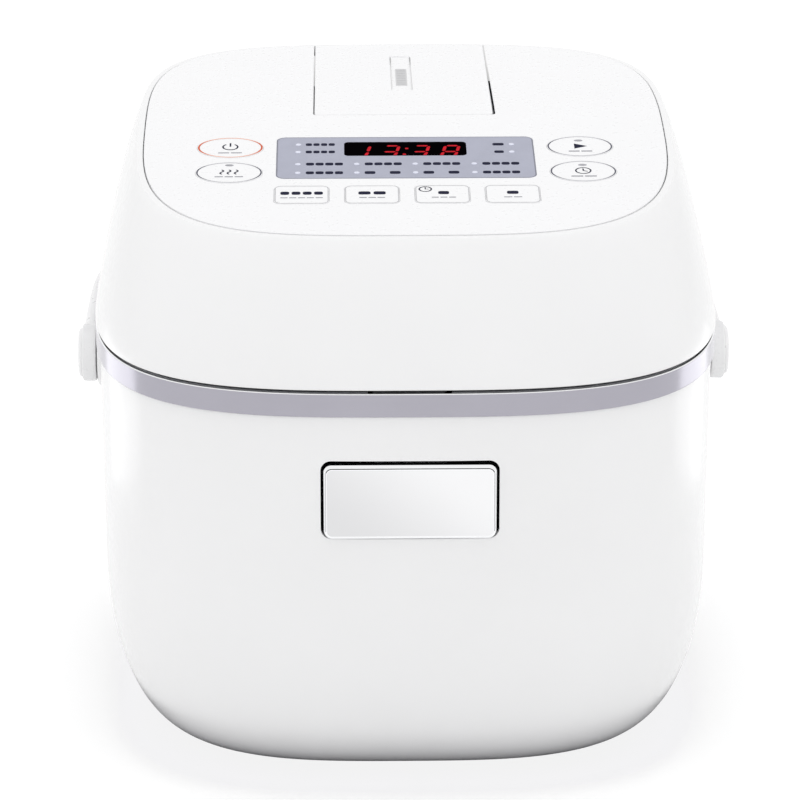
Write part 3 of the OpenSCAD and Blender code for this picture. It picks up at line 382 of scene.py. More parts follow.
# The latch face's colour grows lighter from its lower left to its upper right: a painted
# reflection.
MIRROR = drift(
    finish_of("latch_face_painted_reflection", (0.98, 0.98, 0.985), 0.08, metallic=1, vary=0.006,
              rough_vary=0.02, grain=500, bump=0.01),
    (0.7, 0.7, 0.705), (0.86, 0.86, 0.865), (0.8, 0, 1.0), 0.075, 0.13)
# Strips in the gaps beside the vent: painted shade, darker at the front and lighter at the rear.
GAP_SHADE = shadow_line("gap_painted_shade", 0.5, 0.72, 0.03, 0.07)
# Lines along the vent slot's edges: painted shade, pale at the front and dark at the rear.
SLOT_EDGE_SHADE = shadow_line("slot_edge_painted_shade", 0.72, 0.3, 0.055, 0.068)


# ---------- Mesh helpers ----------

SHARP = 38.0  # an edge that turns by more than this, in degrees, stays sharp


def link(o):
    scene.collection.objects.link(o)
    return o


def add_object(name, me):
    return link(bpy.data.objects.new(name, me))


def shade(o, angle=SHARP, weighted=True):
    for poly in o.data.polygons:
        poly.use_smooth = True
    o.data.set_sharp_from_angle(angle=math.radians(angle))
    if weighted:
        w = o.modifiers.new("weighted", "WEIGHTED_NORMAL")
        w.keep_sharp = True
        w.weight = 60


def add(name, verts, faces, mats, body, *stands_for, index=None, slot=None, angle=SHARP,
        weighted=True):
    """A piece from points in local millimetres, riding on a body and standing for CAD nodes."""
    me = bpy.data.meshes.new(name)
    me.from_pydata(P(verts).tolist(), [], [list(map(int, f)) for f in faces])
    for m in mats if isinstance(mats, (list, tuple)) else [mats]:
        me.materials.append(m)
    if index is not None:
        for poly, i in zip(me.polygons, index):
            poly.material_index = int(i)
    bm = bmesh.new()
    bm.from_mesh(me)
    bmesh.ops.remove_doubles(bm, verts=bm.verts, dist=1e-6)
    bmesh.ops.recalc_face_normals(bm, faces=bm.faces)
    bm.to_mesh(me)
    bm.free()
    o = add_object(name, me)
    shade(o, angle, weighted)
    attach(o, body)
    if stands_for:
        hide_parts(*stands_for)
    return o


def inside(p, loop):
    """Whether a point is inside a closed line."""
    x, y = p[0], p[1]
    a, b = loop, np.roll(loop, -1, 0)
    cross = (a[:, 1] > y) != (b[:, 1] > y)
    with np.errstate(divide="ignore", invalid="ignore"):
        at = (b[:, 0] - a[:, 0]) * (y - a[:, 1]) / (b[:, 1] - a[:, 1]) + a[:, 0]
    return bool(np.count_nonzero(cross & (x < at)) % 2)


class Build:
    """Collects points and faces with a material number for each face."""

    def __init__(self):
        self.v, self.f, self.m, self.n = [], [], [], 0

    def points(self, pts):
        """Adds points and returns the number of the first."""
        a = np.asarray(pts, float).reshape(-1, 3)
        self.v.append(a)
        start = self.n
        self.n += len(a)
        return start

    def face(self, numbers, mat):
        self.f.append(tuple(numbers))
        self.m.append(mat)

    def polygon(self, pts, mat):
        """One flat face."""
        start = self.points(pts)
        self.face(range(start, start + len(pts)), mat)
        return self

    def loft(self, rings, mat=0, closed=True, loop=False, cap_start=None, cap_end=None):
        """Quads between rings of the same count.

        mat may be a list, one for each step, or a function of (step, i)."""
        starts = [self.points(r) for r in rings]
        n = len(rings[0])
        pairs = list(zip(range(len(rings) - 1), range(1, len(rings))))
        if loop:
            pairs.append((len(rings) - 1, 0))
        for k, (a, b) in enumerate(pairs):
            for i in range(n if closed else n - 1):
                j = (i + 1) % n
                number = mat(k, i) if callable(mat) else mat[k] if isinstance(mat, list) else mat
                self.face((starts[a] + i, starts[a] + j, starts[b] + j, starts[b] + i), number)
        if cap_start is not None:
            self.face((starts[0] + i for i in reversed(range(n))), cap_start)
        if cap_end is not None:
            self.face((starts[-1] + i for i in range(n)), cap_end)
        return self

    def lathe(self, profile, centre, axis="z", n=96, mat=0, sign=1):
        """Turns (radius, height) round an axis through centre.

        The height runs along the axis times sign."""
        a = np.radians(np.arange(n) * 360 / n)
        rings = []
        for r, h in profile:
            r = max(r, 1e-4)
            c, s, k = r * np.cos(a), r * np.sin(a), np.full(n, h * sign)
            q = {"z": (c, s, k), "x": (k, c, s)}[axis]
            rings.append(np.column_stack(q) + np.asarray(centre, float))
        return self.loft(rings, mat)

    def fill(self, loops, height, mat=0, extra=()):
        """A flat sheet between an outer loop and holes, at a height of the flat layout.

        The extra points are used where they lie in the sheet, clear of its edges."""
        pts, edges = [], []
        for loop in loops:
            s = len(pts)
            pts += [tuple(p) for p in loop]
            edges += [(s + i, s + (i + 1) % len(loop)) for i in range(len(loop))]

        def in_sheet(p):
            return inside(p, loops[0]) and not any(inside(p, hole) for hole in loops[1:])

        border = np.array(pts)
        pts += [tuple(p) for p in extra
                if np.min(np.hypot(*(border - p).T)) > 1.1 and in_sheet(p)]
        v, _, f, _, _, _ = delaunay_2d_cdt([Vector(p) for p in pts], edges, [], 0, 1e-6)
        v = np.array([tuple(p) for p in v])
        start = self.points(ring(v, height))
        for tri in f:
            if in_sheet(v[list(tri)].mean(0)):
                self.face((start + i for i in tri), mat)
        return self

    def stroke(self, pts, w, height, mat=0, closed=False):
        """A flat printed line of width w."""
        p = np.asarray(pts, float)
        if closed:
            before, after = np.roll(p, 1, 0), np.roll(p, -1, 0)
        else:
            before, after = np.vstack([p[:1], p[:-1]]), np.vstack([p[1:], p[-1:]])
        d = after - before
        d /= np.linalg.norm(d, axis=1)[:, None]
        side = np.column_stack([-d[:, 1], d[:, 0]]) * w / 2
        return self.loft([ring(p - side, height), ring(p + side, height)], mat, closed=closed)

    def band(self, shape, d0, d1, height, mat=0):
        """A flat printed band inside a shape's edge, from inset d0 to d1."""
        return self.loft([ring(shape(d0), height), ring(shape(d1), height)], mat)

    def plate(self, shape, height, mat=0, edge=0.0, drop=0.0):
        """A flat printed or slightly raised shape with a softened edge."""
        low = ring(shape(0), height - drop)
        if not edge:
            return self.polygon(low, mat)
        rings = [low, ring(shape(edge * 0.3), height - edge * 0.3), ring(shape(edge), height)]
        return self.loft(rings, mat, cap_end=mat)

    def done(self, name, mats, body, *stands_for, on_deck=False, **kw):
        """Makes the piece; on_deck bends it from the flat layout to the lid's top."""
        v = np.vstack(self.v)
        return add(name, deck(v) if on_deck else v, self.f, mats, body, *stands_for,
                   index=self.m, **kw)


def cutter(shape, y0, y1):
    """A prism along y, to be cut out of another piece."""
    b = Build().loft([front_ring(shape, 0, y) for y in (y0, y1)], cap_start=0, cap_end=0)
    o = add("cutter", np.vstack(b.v), b.f, DARK, "body")
    o.modifiers.clear()
    return o


def cut(o, *tools):
    """Takes the tools out of o and drops them."""
    for tool in tools:
        m = o.modifiers.new("cut", "BOOLEAN")
        m.operation, m.solver, m.object = "DIFFERENCE", "EXACT", tool
        o.modifiers.move(len(o.modifiers) - 1, 0)
    cuts = [m for m in o.modifiers if m.type == "BOOLEAN"]
    others = [m for m in o.modifiers if m.type != "BOOLEAN"]
    for m in others:
        m.show_viewport = False
    dg = bpy.context.evaluated_depsgraph_get()
    dg.update()
    me = bpy.data.meshes.new_from_object(o.evaluated_get(dg))
    for m in cuts:
        o.modifiers.remove(m)
    for m in others:
        m.show_viewport = True
    o.data = me
    for tool in tools:
        bpy.data.objects.remove(tool)
    o.data.set_sharp_from_angle(angle=math.radians(SHARP))


def finished_copy(name, mat):
    """A copy of a CAD node's shape without its flat faces' inner edges; it stands for the node."""
    src = frame["nodes"][name]
    bm = bmesh.new()
    bm.from_mesh(src.data)
    bmesh.ops.remove_doubles(bm, verts=bm.verts, dist=2e-6)
    bmesh.ops.dissolve_limit(bm, angle_limit=math.radians(1.2), verts=bm.verts, edges=bm.edges)
    me = bpy.data.meshes.new(name + "_finished")
    bm.to_mesh(me)
    bm.free()
    me.materials.clear()
    me.materials.append(mat)
    for poly in me.polygons:
        poly.material_index = 0
        poly.use_smooth = True
    me.set_sharp_from_angle(angle=math.radians(60))
    o = add_object(name + "_finished", me)
    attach(o, src["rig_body"])
    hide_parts(name)
    return o


def soften(name, mat, width):
    """A CAD node's shape with its edges rounded as a moulding's are."""
    o = finished_copy(name, mat)
    b = o.modifiers.new("round", "BEVEL")
    b.width, b.segments = width / 1000, 3
    b.limit_method, b.angle_limit = "ANGLE", math.radians(30)
    b.use_clamp_overlap = True
    b.miter_outer = "MITER_ARC"
    w = o.modifiers.new("weighted", "WEIGHTED_NORMAL")
    w.keep_sharp = True


def dress(name, mat):
    """A CAD node that stays: its own shape with a finish."""
    o = frame["nodes"][name]
    o.data.materials.clear()
    o.data.materials.append(mat)
    for poly in o.data.polygons:
        poly.material_index = 0


def spring(name):
    """A spring: a finished copy of the CAD node in steel, with a mesh of its own."""
    o = finished_copy(name, STEEL)
    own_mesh(o)


# ---------- Body ----------

def case_ring(z, w, wall):
    """Ring of the case at height z, inside its outer face by wall, turned in by the share w."""
    d = BAND_STEP + wall + DRAFT * max(0.0, BAND_Z - z)
    flat = outline(HALF_W - d - FOOT_SIDE * w, FRONT - d - FOOT_FRONT * w,
                   REAR - d - FOOT_FRONT * w, BODY_P)
    return ring(flat, z)


def case_level(t, wall=0.0):
    """Ring of the case at angle t of its rounded foot, where 90 is the foot's lowest point."""
    s = math.sin(math.radians(t)) ** (2 / FOOT_P)
    w = 1 - math.cos(math.radians(t)) ** (2 / FOOT_P)
    return case_ring(FOOT_Z - s * (FOOT_H - wall), w, wall)


angles = list(np.linspace(0, 88.5, 40))
outer = [case_level(a) for a in reversed(angles)]
outer += [case_ring(z, 0, 0) for z in np.linspace(70, 132.6, 12)]
outer += [case_ring(133.1, 0, 0.15), case_ring(BAND_Z, 0, 0.5)]
inner = [case_ring(z, 0, WALL) for z in (BAND_Z, 110, 80)]
inner += [case_level(a, WALL) for a in angles[::3]]
case = Build().loft(outer + inner, loop=True).done(
    "case_shell", WHITE, "body", "outer_case", slot="white_plastic")
cut(case,
    cutter(round_rect(0, LATCH_Z, LATCH_W + 2 * LATCH_GAP, LATCH_H + 2 * LATCH_GAP,
                      LATCH_R + LATCH_GAP), -128, -110),
    cutter(round_rect(0, INLET_Z, 34, 22, 2), 110, 128))


def band_turn(r, z, up, degrees):
    """Rings of a rounded edge of the band, of radius r, that starts at height z.

    It turns out towards the band's side, or up and in towards its top."""
    out = []
    for a in np.radians(degrees):
        inset, rise = (r - r * math.cos(a), r * math.sin(a)) if up else (
            r - r * math.sin(a), r - r * math.cos(a))
        out.append(ring(body_line(inset), z + rise))
    return out


BAND_LOW_R, BAND_TOP_R = 0.5, 0.45
rings = [ring(body_line(2.4), BAND_Z), ring(body_line(0.55), BAND_Z)]
rings += band_turn(BAND_LOW_R, BAND_Z, False, (20, 40, 60, 80, 90))
rings += [ring(body_line(0.0), z) for z in (135.5, 137.6, 139.8, DECK_Z - BAND_TOP_R)]
rings += band_turn(BAND_TOP_R, DECK_Z - BAND_TOP_R, True, (15, 35, 55, 75, 90))
rings += [ring(body_line(d), DECK_Z - down)
          for d, down in ((0.55, 0.02), (0.62, 0.3), (0.8, 2), (2.4, 2))]
# The inner part of the band's top and the step behind it are near-black: painted shade of the seam
# under the lid.
Build().loft(rings, [0] * 11 + [2] * 4 + [1] * 5, loop=True).done(
    "band_ring", [SILVER, BLACK, CHROME], "body", "silver_band", slot="silver_trim")

for name, mat, width in (
        ("base_plate", GREY, 0.5), ("rubber_feet", RUBBER, 0.6), ("upper_frame", DECK, 0.3),
        ("hinge_housing", WHITE, 0.9), ("power_inlet", DARK, 0.6), ("latch_bracket", GREY, 0.3),
        ("latch_lever", GREY, 0.3), ("liner_support", STEEL, 0.3), ("inlet_pins", BRASS, 0.4),
        ("inner_lid_frame", GREY, 0.3), ("hinge_arm", WHITE, 0.6), ("lid_catch", STEEL, 0.15),
        ("vent_well", GREY, 0.3)):
    soften(name, mat, width)
for mat, names in (
        (STEEL, "base_screws inner_liner sensor_cap hinge_pin hinge_spring latch_pin"),
        (STEEL, "handle_pivots board_screws"), (CAST, "heater_plate sensor_holder thermal_fuse"),
        (BOARD, "power_board control_board"), (COPPER, "transformer"), (BLUE, "relay"),
        (DARK, "tact_switches"), (POT, "inner_lid_plate"), (SILICONE, "lid_gasket vent_packing")):
    for name in names.split():
        dress(name, mat)
spring("sensor_spring")
spring("latch_spring")

# ---------- Inner pot ----------

POT_R, POT_WALL, POT_ROUND = 84.0, 1.8, 14.0
POT_TOP, POT_LOW = DECK_Z - 0.4, DECK_Z - 96.0


def pot_curve(r, low, round_r, steps=10):
    """Side and rounded bottom of the pot, from its rim down to its middle."""
    side = [(r, z) for z in np.linspace(POT_TOP - 3.0, low + round_r + 2, 6)]
    turn = [(r - round_r + round_r * math.cos(a), low + round_r - round_r * math.sin(a))
            for a in np.radians(np.linspace(0, 90, steps))]
    return side + turn + [(r * 0.4, low), (0, low)]


outside = list(reversed(pot_curve(POT_R, POT_LOW, POT_ROUND)))
coated = pot_curve(POT_R - POT_WALL, POT_LOW + POT_WALL, POT_ROUND - POT_WALL)
lip = [(r, POT_TOP - down) for r, down in (
    (POT_R, 1.6), (86.6, 1.6), (87.3, 1.25), (87.5, 0.75), (87.25, 0.3), (86.6, 0), (84.6, 0),
    (83.4, 0.35), (82.5, 1.3))]
bare = len(outside) + len(lip) - 1
pot = Build().lathe(outside + lip + coated, (0, 0, 0), n=160,
                    mat=[0] * bare + [1] * len(coated))
MARK_R, MARK_T = POT_R - POT_WALL - 0.05, 0.7
for k in range(7):
    half = 9 if k % 2 else 6
    a = np.radians(np.linspace(90 - half, 90 + half, 12))
    arc = np.column_stack([MARK_R * np.cos(a), MARK_R * np.sin(a)])
    low = POT_LOW + (18 + 9.5 * k)
    pot.loft([ring(arc, low), ring(arc, low + MARK_T)], 2, closed=False)
pot.done("pot", [POT, COATING, MARK], "body", "inner_pot", slot="pot_metal")

# ---------- Latch ----------

FACE_Y = -120.2
PLATE_DOWN = 0.35  # the plate sits this much below the window's middle


def groove(k, i):
    """Painted shade in the groove: black inside the plate's upper edge, grey down its sides, and
    none along the bottom.
    """
    if k != 4:
        return 0
    j = (i + 1) % len(corners)
    z, x = (corners[i][1] + corners[j][1]) / 2, abs(corners[i][0] + corners[j][0]) / 2
    if z > LATCH_H / 2 - 1.3:
        return 1
    return 2 if x > LATCH_W / 2 - 0.5 and z > -LATCH_H / 2 + 2.5 else 0


corners = round_rect(0, LATCH_Z, LATCH_W, LATCH_H, LATCH_R)(0) - (0, LATCH_Z)
shape = round_rect(0, LATCH_Z - PLATE_DOWN, LATCH_W, LATCH_H, LATCH_R)
face = round_rect(0, LATCH_Z - PLATE_DOWN - 0.5, LATCH_W - 1.5, LATCH_H - 1.6, LATCH_R - 0.5)
rings = [front_ring(shape, d, FACE_Y + back) for d, back in ((0, 3.2), (0, 0.6), (0.08, 0.5))]
rings += [front_ring(face, d, FACE_Y + back)
          for d, back in ((-0.45, 0.02), (-0.3, 0.1), (0.0, 0.12), (0.12, 0), (0.3, 0))]
Build().loft(rings, groove, cap_start=0, cap_end=3).done(
    "latch_plate", [CHROME, BLACK, SOFT_GREY, MIRROR], "latch", "latch_button",
    slot="chrome_plate", angle=25, weighted=False)

bezel_at = round_rect(0, LATCH_Z, LATCH_W + 2 * LATCH_GAP + 1, LATCH_H + 2 * LATCH_GAP + 1,
                      LATCH_R + LATCH_GAP + 0.5)
rings = [front_ring(bezel_at, d, y) for d, y in (
    (0, -117.0), (0.45, -117.0), (0.5, -114.7), (2.3, -114.7), (2.3, -114.2), (0, -114.2))]
Build().loft(rings, loop=True).done(
    "latch_frame", BLACK, "body", "latch_bezel", slot="dark_plastic")

# ---------- Handle ----------

PIVOT_Y, PIVOT_Z = 7.0, 116.0
BAIL_OUT, BAIL_IN, BAIL_H = 112.6, 107.5, 16.0
ARM_END, BOW_START = 45.0, 47.0
PIVOT = (0, PIVOT_Y, PIVOT_Z)


def bail_line(half, depth):
    """One side of the handle's flat outline: an arm, the bow behind the lid, and the other arm."""
    a = np.radians(np.linspace(0, 180, 400))
    bow = np.column_stack([half * spow(np.cos(a), 3), BOW_START + depth * spow(np.sin(a), 3)])
    arm = [(half, y) for y in np.linspace(PIVOT_Y, ARM_END, 8)]
    return np.vstack([arm, even(bow, 150), [(-x, y) for x, y in reversed(arm)]])


def bail_section(a, b):
    """The handle's cross-section between a point of its outside and one of its inside."""
    t = np.linalg.norm(a - b)
    u = (a - b) / t
    mid = (a + b) / 2
    section = round_rect(0, 0, t, BAIL_H, min(t / 2 - 0.15, 2.4), 6)(0)
    return np.column_stack([mid[0] + u[0] * section[:, 0], mid[1] + u[1] * section[:, 0],
                            PIVOT_Z + section[:, 1]])


bail = Build().loft(
    [bail_section(a, b) for a, b in zip(bail_line(BAIL_OUT, 108), bail_line(BAIL_IN, 100))],
    cap_start=0, cap_end=0)
caps, seats = Build(), Build()
for build, profile in (
        (bail, [(0, BAIL_IN), (9.0, BAIL_IN), (9.8, 107.8), (10.1, 108.5), (10.1, 111.6),
                (9.8, 112.3), (9.0, BAIL_OUT), (0, BAIL_OUT)]),
        (caps, [(0, 112.0), (8.4, 112.0), (8.6, 112.9), (8.3, 113.5), (7.4, 113.9), (5.0, 114.15),
                (2.5, 114.27), (0, 114.3)]),
        (seats, [(0, 103.5), (11.7, 103.5), (11.7, 106.0), (11.5, 106.6), (11.0, 107.0),
                 (10.2, 107.2), (4.3, 107.2), (4.2, 106.8), (4.2, 104.0)])):
    for side in (-1, 1):
        build.lathe(profile, PIVOT, "x", sign=side)
bail.done("bail", HANDLE, "handle", "handle_bail", slot="handle_plastic")
caps.done("bail_caps", HANDLE, "handle", "handle_caps", slot="handle_plastic")
seats.done("bail_seats", WHITE, "body", "handle_seats", slot="white_plastic")

# ---------- Lid ----------

def lid_level(t, wall=0.0, drop=0.0):
    """Ring of the lid's flank at angle t, from its foot at 0 to the edge of its top at 90."""
    v = math.sin(math.radians(t)) ** (2 / LID_P)
    w = 1 - math.cos(math.radians(t)) ** (2 / LID_P)
    flat = outline(HALF_W - wall - IN_SIDE * w, FRONT - wall - IN_FRONT * w,
                   REAR - wall - IN_REAR * w, BODY_P + (CREASE_P - BODY_P) * v)
    return ring(flat, LID_Z + v * (top_z(flat[:, 1]) - drop - LID_Z))


def on_top(d, h):
    """Ring on the lid's top, drawn in by d from the edge, at height h over it."""
    flat = crease(d)
    return ring(flat, top_z(flat[:, 1]) + h)


rings = [ring(body_line(d), LID_Z + up) for d, up in ((0.5, 0), (0.16, 0.12), (0.02, 0.45))]
rings += [lid_level(t) for t in np.linspace(9, 90, 52)]
rings += [on_top(d, h) for d, h in (
    (0.5, -0.02), (RIM - 0.35, -0.05), (RIM - 0.1, -0.12), (RIM, -0.35), (RIM, -2.5),
    (RIM + 3, -2.5), (RIM + 3, -4.0))]
rings += [lid_level(t, WALL, 4.7) for t in (75, 60, 45, 30, 15, 4)]
rings += [ring(body_line(WALL), LID_Z)]
Build().loft(rings, loop=True).done("lid_shell", WHITE, "lid", "lid_cover", slot="white_plastic")

# ---------- Top panel ----------

CAP_HALF, CAP_FRONT, GAP = 30.8, 5.3, 0.3  # the vent cap, and the gap between it and the panel
SIDE_X, LOWER_Y, UPPER_Y = 59.1, dy(-53.4), dy(-31.5)
OVAL_W, OVAL_L = 11.2, 9 * COS  # half sizes of the oval keys
OVALS = {"off": (-SIDE_X, UPPER_Y), "keep_warm": (-SIDE_X, LOWER_Y),
         "start": (SIDE_X, UPPER_Y), "timer": (SIDE_X, LOWER_Y)}
SQUARES = {"preset": -34.8, "menu": -11.6, "hour": 11.6, "minute": 34.8}
oval_at = {k: oval(x, y, OVAL_W, OVAL_L) for k, (x, y) in OVALS.items()}
square_at = {k: round_rect(x, dy(-72.6), 18.2, 15.2 * COS, 2.5) for k, x in SQUARES.items()}
display_at = round_rect(0, dy(-40.5), 86.8, 36.4 * COS, 3.0)
window_at = round_rect(0, dy(-32.8), 41.2, 12.2 * COS, 1.5)


def panel_edge(d):
    """Half width, front and rear of the panel's outline, drawn in by d."""
    return [v - PANEL_IN - d for v in CREASE]


def crease_arc(d, half):
    """The panel's outline from the right of the vent round the front to its left."""
    h, f, r = panel_edge(d)
    a0 = math.acos((half / h) ** (CREASE_P / 2))
    a = np.linspace(a0, -(math.pi + a0), 1200)
    reach = np.where(np.sin(a) < 0, f, r)
    return even(np.column_stack([h * spow(np.cos(a), CREASE_P), reach * spow(np.sin(a), CREASE_P)]),
                300)


def round_vent(line, half, y0, r, shift, sides, front):
    """Closes a line with the vent's two sides and its front, whose two corners have radius r."""
    left = [(-half + r * (1 - math.cos(a)), y0 + r * (1 - math.sin(a)))
            for a in np.radians(np.linspace(0, 90, 6))]
    right = [(shift - x, y) for x, y in reversed(left)]
    down = even([line[-1], left[0]], sides)[1:-1]
    up = even([right[-1], line[0]], sides)[1:-1]
    across = even([left[-1], right[0]], front)[1:-1]
    return np.vstack([line, down, left, across, right, up])


def panel_outline(d):
    """The panel's outline, with its wider gap at the vent's right."""
    half = CAP_HALF + GAP + d
    return round_vent(crease_arc(d, half), half, CAP_FRONT - 0.12 - d, 1.3 + d, 0.5, 24, 20)


def cap_outline(d):
    """The vent cap's outline, which follows the panel's at the rear."""
    half = CAP_HALF - d
    h, _, rear = panel_edge(d)
    x = np.linspace(half, -half, 41)
    back = np.column_stack([x, rear * (1 - (np.abs(x) / h) ** CREASE_P) ** (1 / CREASE_P)])
    return round_vent(back, half, CAP_FRONT + d, 1.2, 0, 30, 16)


# Points inside the flat sheets, dense at the bend, so that they can follow it.
bend_points = [(x, y) for y in np.arange(-8, 20.5, 1.5) for x in np.arange(-86, 87, 4.3)]
bend_points += [(x, y) for y in np.arange(-96, 104, 8.0) for x in np.arange(-86, 87, 8.6)
                if not -10 < y < 20]
PROUD, PANEL_T = 0.2, 2.3
EDGE = [(0.0, -PANEL_T), (0.0, PROUD - 0.3), (0.09, PROUD - 0.09), (0.3, PROUD)]
FINE = [(0.0, -PANEL_T), (0.0, PROUD - 0.08), (0.03, PROUD - 0.02), (0.08, PROUD)]
LEAN = 0.135  # slope of the way that a key travels


def leaning(flat, h):
    """An outline moved back along the way of a key, for a height h below the panel's top."""
    return np.asarray(flat, float) - (0, LEAN * min(h, 0))


def sheet_of(outer_fn, hole_fns, profile, hole_profile=None, wall=0, key_fns=()):
    """A panel with softened edges at its outline and round its holes.

    The walls round keys lean as the keys do."""
    b = Build()
    hole_profile = hole_profile or profile
    low, (top_in, top) = profile[0][1], profile[-1]
    hole_in = hole_profile[-1][0]
    b.loft([ring(outer_fn(d), h) for d, h in profile], wall)
    for fn in hole_fns:
        b.loft([ring(fn(-d), h) for d, h in hole_profile])
    for fn in key_fns:
        b.loft([ring(leaning(fn(-d), h), h) for d, h in hole_profile])
    holes = [fn(-hole_in) for fn in (*key_fns, *hole_fns)]
    b.fill([outer_fn(top_in)] + holes, top, 0, bend_points)
    holes = [leaning(fn(0), low) for fn in key_fns] + [fn(0) for fn in hole_fns]
    return b.fill([outer_fn(0)] + holes, low, 0, bend_points)


def shade_beside_vent(first):
    """Picks the black painted shade for the wall beside the vent, from point `first` of the
    outline.
    """
    return lambda k, i: 1 if k == 0 and i > first else 0


key_holes = [grown(fn, 0.06) for fn in (*oval_at.values(), *square_at.values())]
b = sheet_of(panel_outline, [grown(display_at, 0.05)], EDGE, FINE, shade_beside_vent(300), key_holes)
# Pale strips just under the top in the gaps beside the vent: painted shade, darker at the front and
# lighter at the rear.
for x, w, y0, y1 in ((-30.95, 0.4, 45, 92), (31.2, 0.85, 52, 107)):
    b.plate(round_rect(x, (y0 + y1) / 2, w, y1 - y0, 0.1, 2), 0.1, 2)
b.done("panel", [PANEL, BLACK, GAP_SHADE], "lid", "top_panel", on_deck=True, slot="panel_plastic")

# ---------- Keys ----------

# The numbers of the finishes of a key's marks.
RING, DARK_MARK, PALE_MARK, PILL_MARK = 1, 2, 3, 4
KEY_EDGE = ((-0.8, -3.7), (-0.8, -2.7), (0, -2.7), (0, 0.16), (0.04, 0.25), (0.16, 0.3))
KEY_INK = 0.33  # height of the print on a key


def key(name, fn, inks, marks, ring_in):
    """A key with its flange under the panel, its post, its ring of print and painted shade, and its
    marks.
    """
    b = Build()
    b.loft([ring(leaning(fn(d), h), h) for d, h in KEY_EDGE], 0, cap_start=0, cap_end=0)
    cx, cy = fn(0).mean(0)
    b.lathe([(2.0, -6.0), (2.0, -3.6)], (cx, cy + LEAN * 4.8, 0), n=32)
    b.band(fn, *ring_in, KEY_INK, RING)
    marks(b, cx, cy)
    b.done(name + "_key", [PANEL, *inks], name, name + "_button", on_deck=True,
           slot="panel_plastic")


def arc_points(cx, cy, r, a0, a1, n):
    a = np.radians(np.linspace(a0, a1, n))
    return np.column_stack([cx + r * np.cos(a), cy + r * np.sin(a)])


def bar(b, cx, cy, w, l, h, mat):
    """One small printed block."""
    b.plate(round_rect(cx, cy, w, l, min(w, l) * 0.3, 4), h, mat)


def words(b, cx, cy, w, l, h, mat, parts=3, gap=0.5):
    """A plain row of small blocks where a legend sits."""
    step = (w + gap) / parts
    for k in range(parts):
        bar(b, cx - w / 2 + step * k + (step - gap) / 2, cy, step - gap, l, h, mat)


def legend(b, cx, cy, w, l, parts):
    words(b, cx, cy, w, l, KEY_INK, PALE_MARK, parts)


def circle(b, cx, cy, r):
    """A printed circle, such as a clock's."""
    b.stroke(arc_points(cx, cy, r, 0, 360, 33)[:-1], 0.5, KEY_INK, DARK_MARK, closed=True)


def pen(b, pts, w=0.55):
    """A line of a printed icon."""
    b.stroke(pts, w, KEY_INK, DARK_MARK)


def pill(b, cx, cy):
    """The small lamp cap on a key."""
    b.plate(oval(cx, cy, 1.45, 0.8, 32), KEY_INK + 0.12, PILL_MARK, edge=0.2, drop=0.15)


def power_sign(b, cx, cy):
    pen(b, arc_points(cx, cy + 0.6, 2.5, 125, 415, 32))
    pen(b, [(cx, cy + 0.9), (cx, cy + 3.9)])
    legend(b, cx, cy - 4.6, 8.0, 0.8, 2)


def warm_sign(b, cx, cy):
    y = np.linspace(-1.9, 1.9, 20)
    for dx in (-2.4, 0, 2.4):
        pen(b, np.column_stack([cx + dx + 0.55 * np.sin(y * 1.7), cy + 0.4 + y]))
    legend(b, cx, cy - 3.6, 9.5, 0.8, 3)
    pill(b, cx, cy + 6.2)


def start_sign(b, cx, cy):
    b.polygon([(cx - 1.9, cy + 2.3, KEY_INK), (cx - 1.9, cy - 2.1, KEY_INK),
               (cx + 2.5, cy + 0.1, KEY_INK)], DARK_MARK)
    legend(b, cx, cy - 4.3, 8.0, 0.9, 2)
    pill(b, cx - 0.3, cy + 5.0)


def timer_sign(b, cx, cy):
    circle(b, cx, cy + 0.4, 2.5)
    pen(b, [(cx, cy + 2.1), (cx, cy + 0.4), (cx + 1.4, cy - 0.3)], 0.5)
    legend(b, cx, cy - 4.3, 8.5, 0.9, 2)
    pill(b, cx, cy + 5.3)


def square_sign(kind):
    """The marks of one of the four keys in the front row."""
    def draw(b, cx, cy):
        if kind == "preset":
            words(b, cx, cy + 1.2, 14.0, 2.6, KEY_INK, DARK_MARK, 4, 0.8)
            legend(b, cx, cy - 2.6, 14.0, 0.7, 5)
        elif kind == "menu":
            words(b, cx, cy + 1.2, 9.0, 2.6, KEY_INK, DARK_MARK, 2, 1.0)
            legend(b, cx, cy - 2.6, 8.5, 0.7, 3)
        elif kind == "hour":
            circle(b, cx - 5.6, cy + 4.2, 2.0)
            pen(b, [(cx - 5.6, cy + 5.6), (cx - 5.6, cy + 4.2), (cx - 4.5, cy + 4.2)], 0.4)
            bar(b, cx + 0.4, cy + 1.2, 3.6, 2.6, KEY_INK, DARK_MARK)
            legend(b, cx + 0.4, cy - 2.6, 8.0, 0.7, 3)
        else:
            bar(b, cx, cy + 1.2, 3.8, 2.6, KEY_INK, DARK_MARK)
            legend(b, cx, cy - 2.6, 6.0, 0.7, 2)
    return draw


RED_RING = ((0.62, 0.1, 0.03), (0.84, 0.5, 0.4))
# Grey rings are partly print and partly painted shade of the gap round a key.
GREY_RING_AND_SHADE = ((0.1, 0.1, 0.13), (0.5, 0.5, 0.53))
for name, draw, tones, inner in (
        ("off", power_sign, RED_RING, 0.85), ("keep_warm", warm_sign, GREY_RING_AND_SHADE, 0.75),
        ("start", start_sign, GREY_RING_AND_SHADE, 0.75), ("timer", timer_sign, GREY_RING_AND_SHADE, 0.75)):
    ring_finish = ring_ink_and_shade(name + "_ring", *tones, OVALS[name][0], OVAL_W)
    key(name, oval_at[name], [ring_finish, INK, PALE_INK, PILL], draw, (0.25, inner))
# Square keys' outlines: partly print and partly painted shade of the gap round them.
for name in SQUARES:
    key(name, square_at[name], [EDGE_INK_AND_SHADE, INK, PALE_INK], square_sign(name), (0.2, 0.55))

# ---------- Display ----------

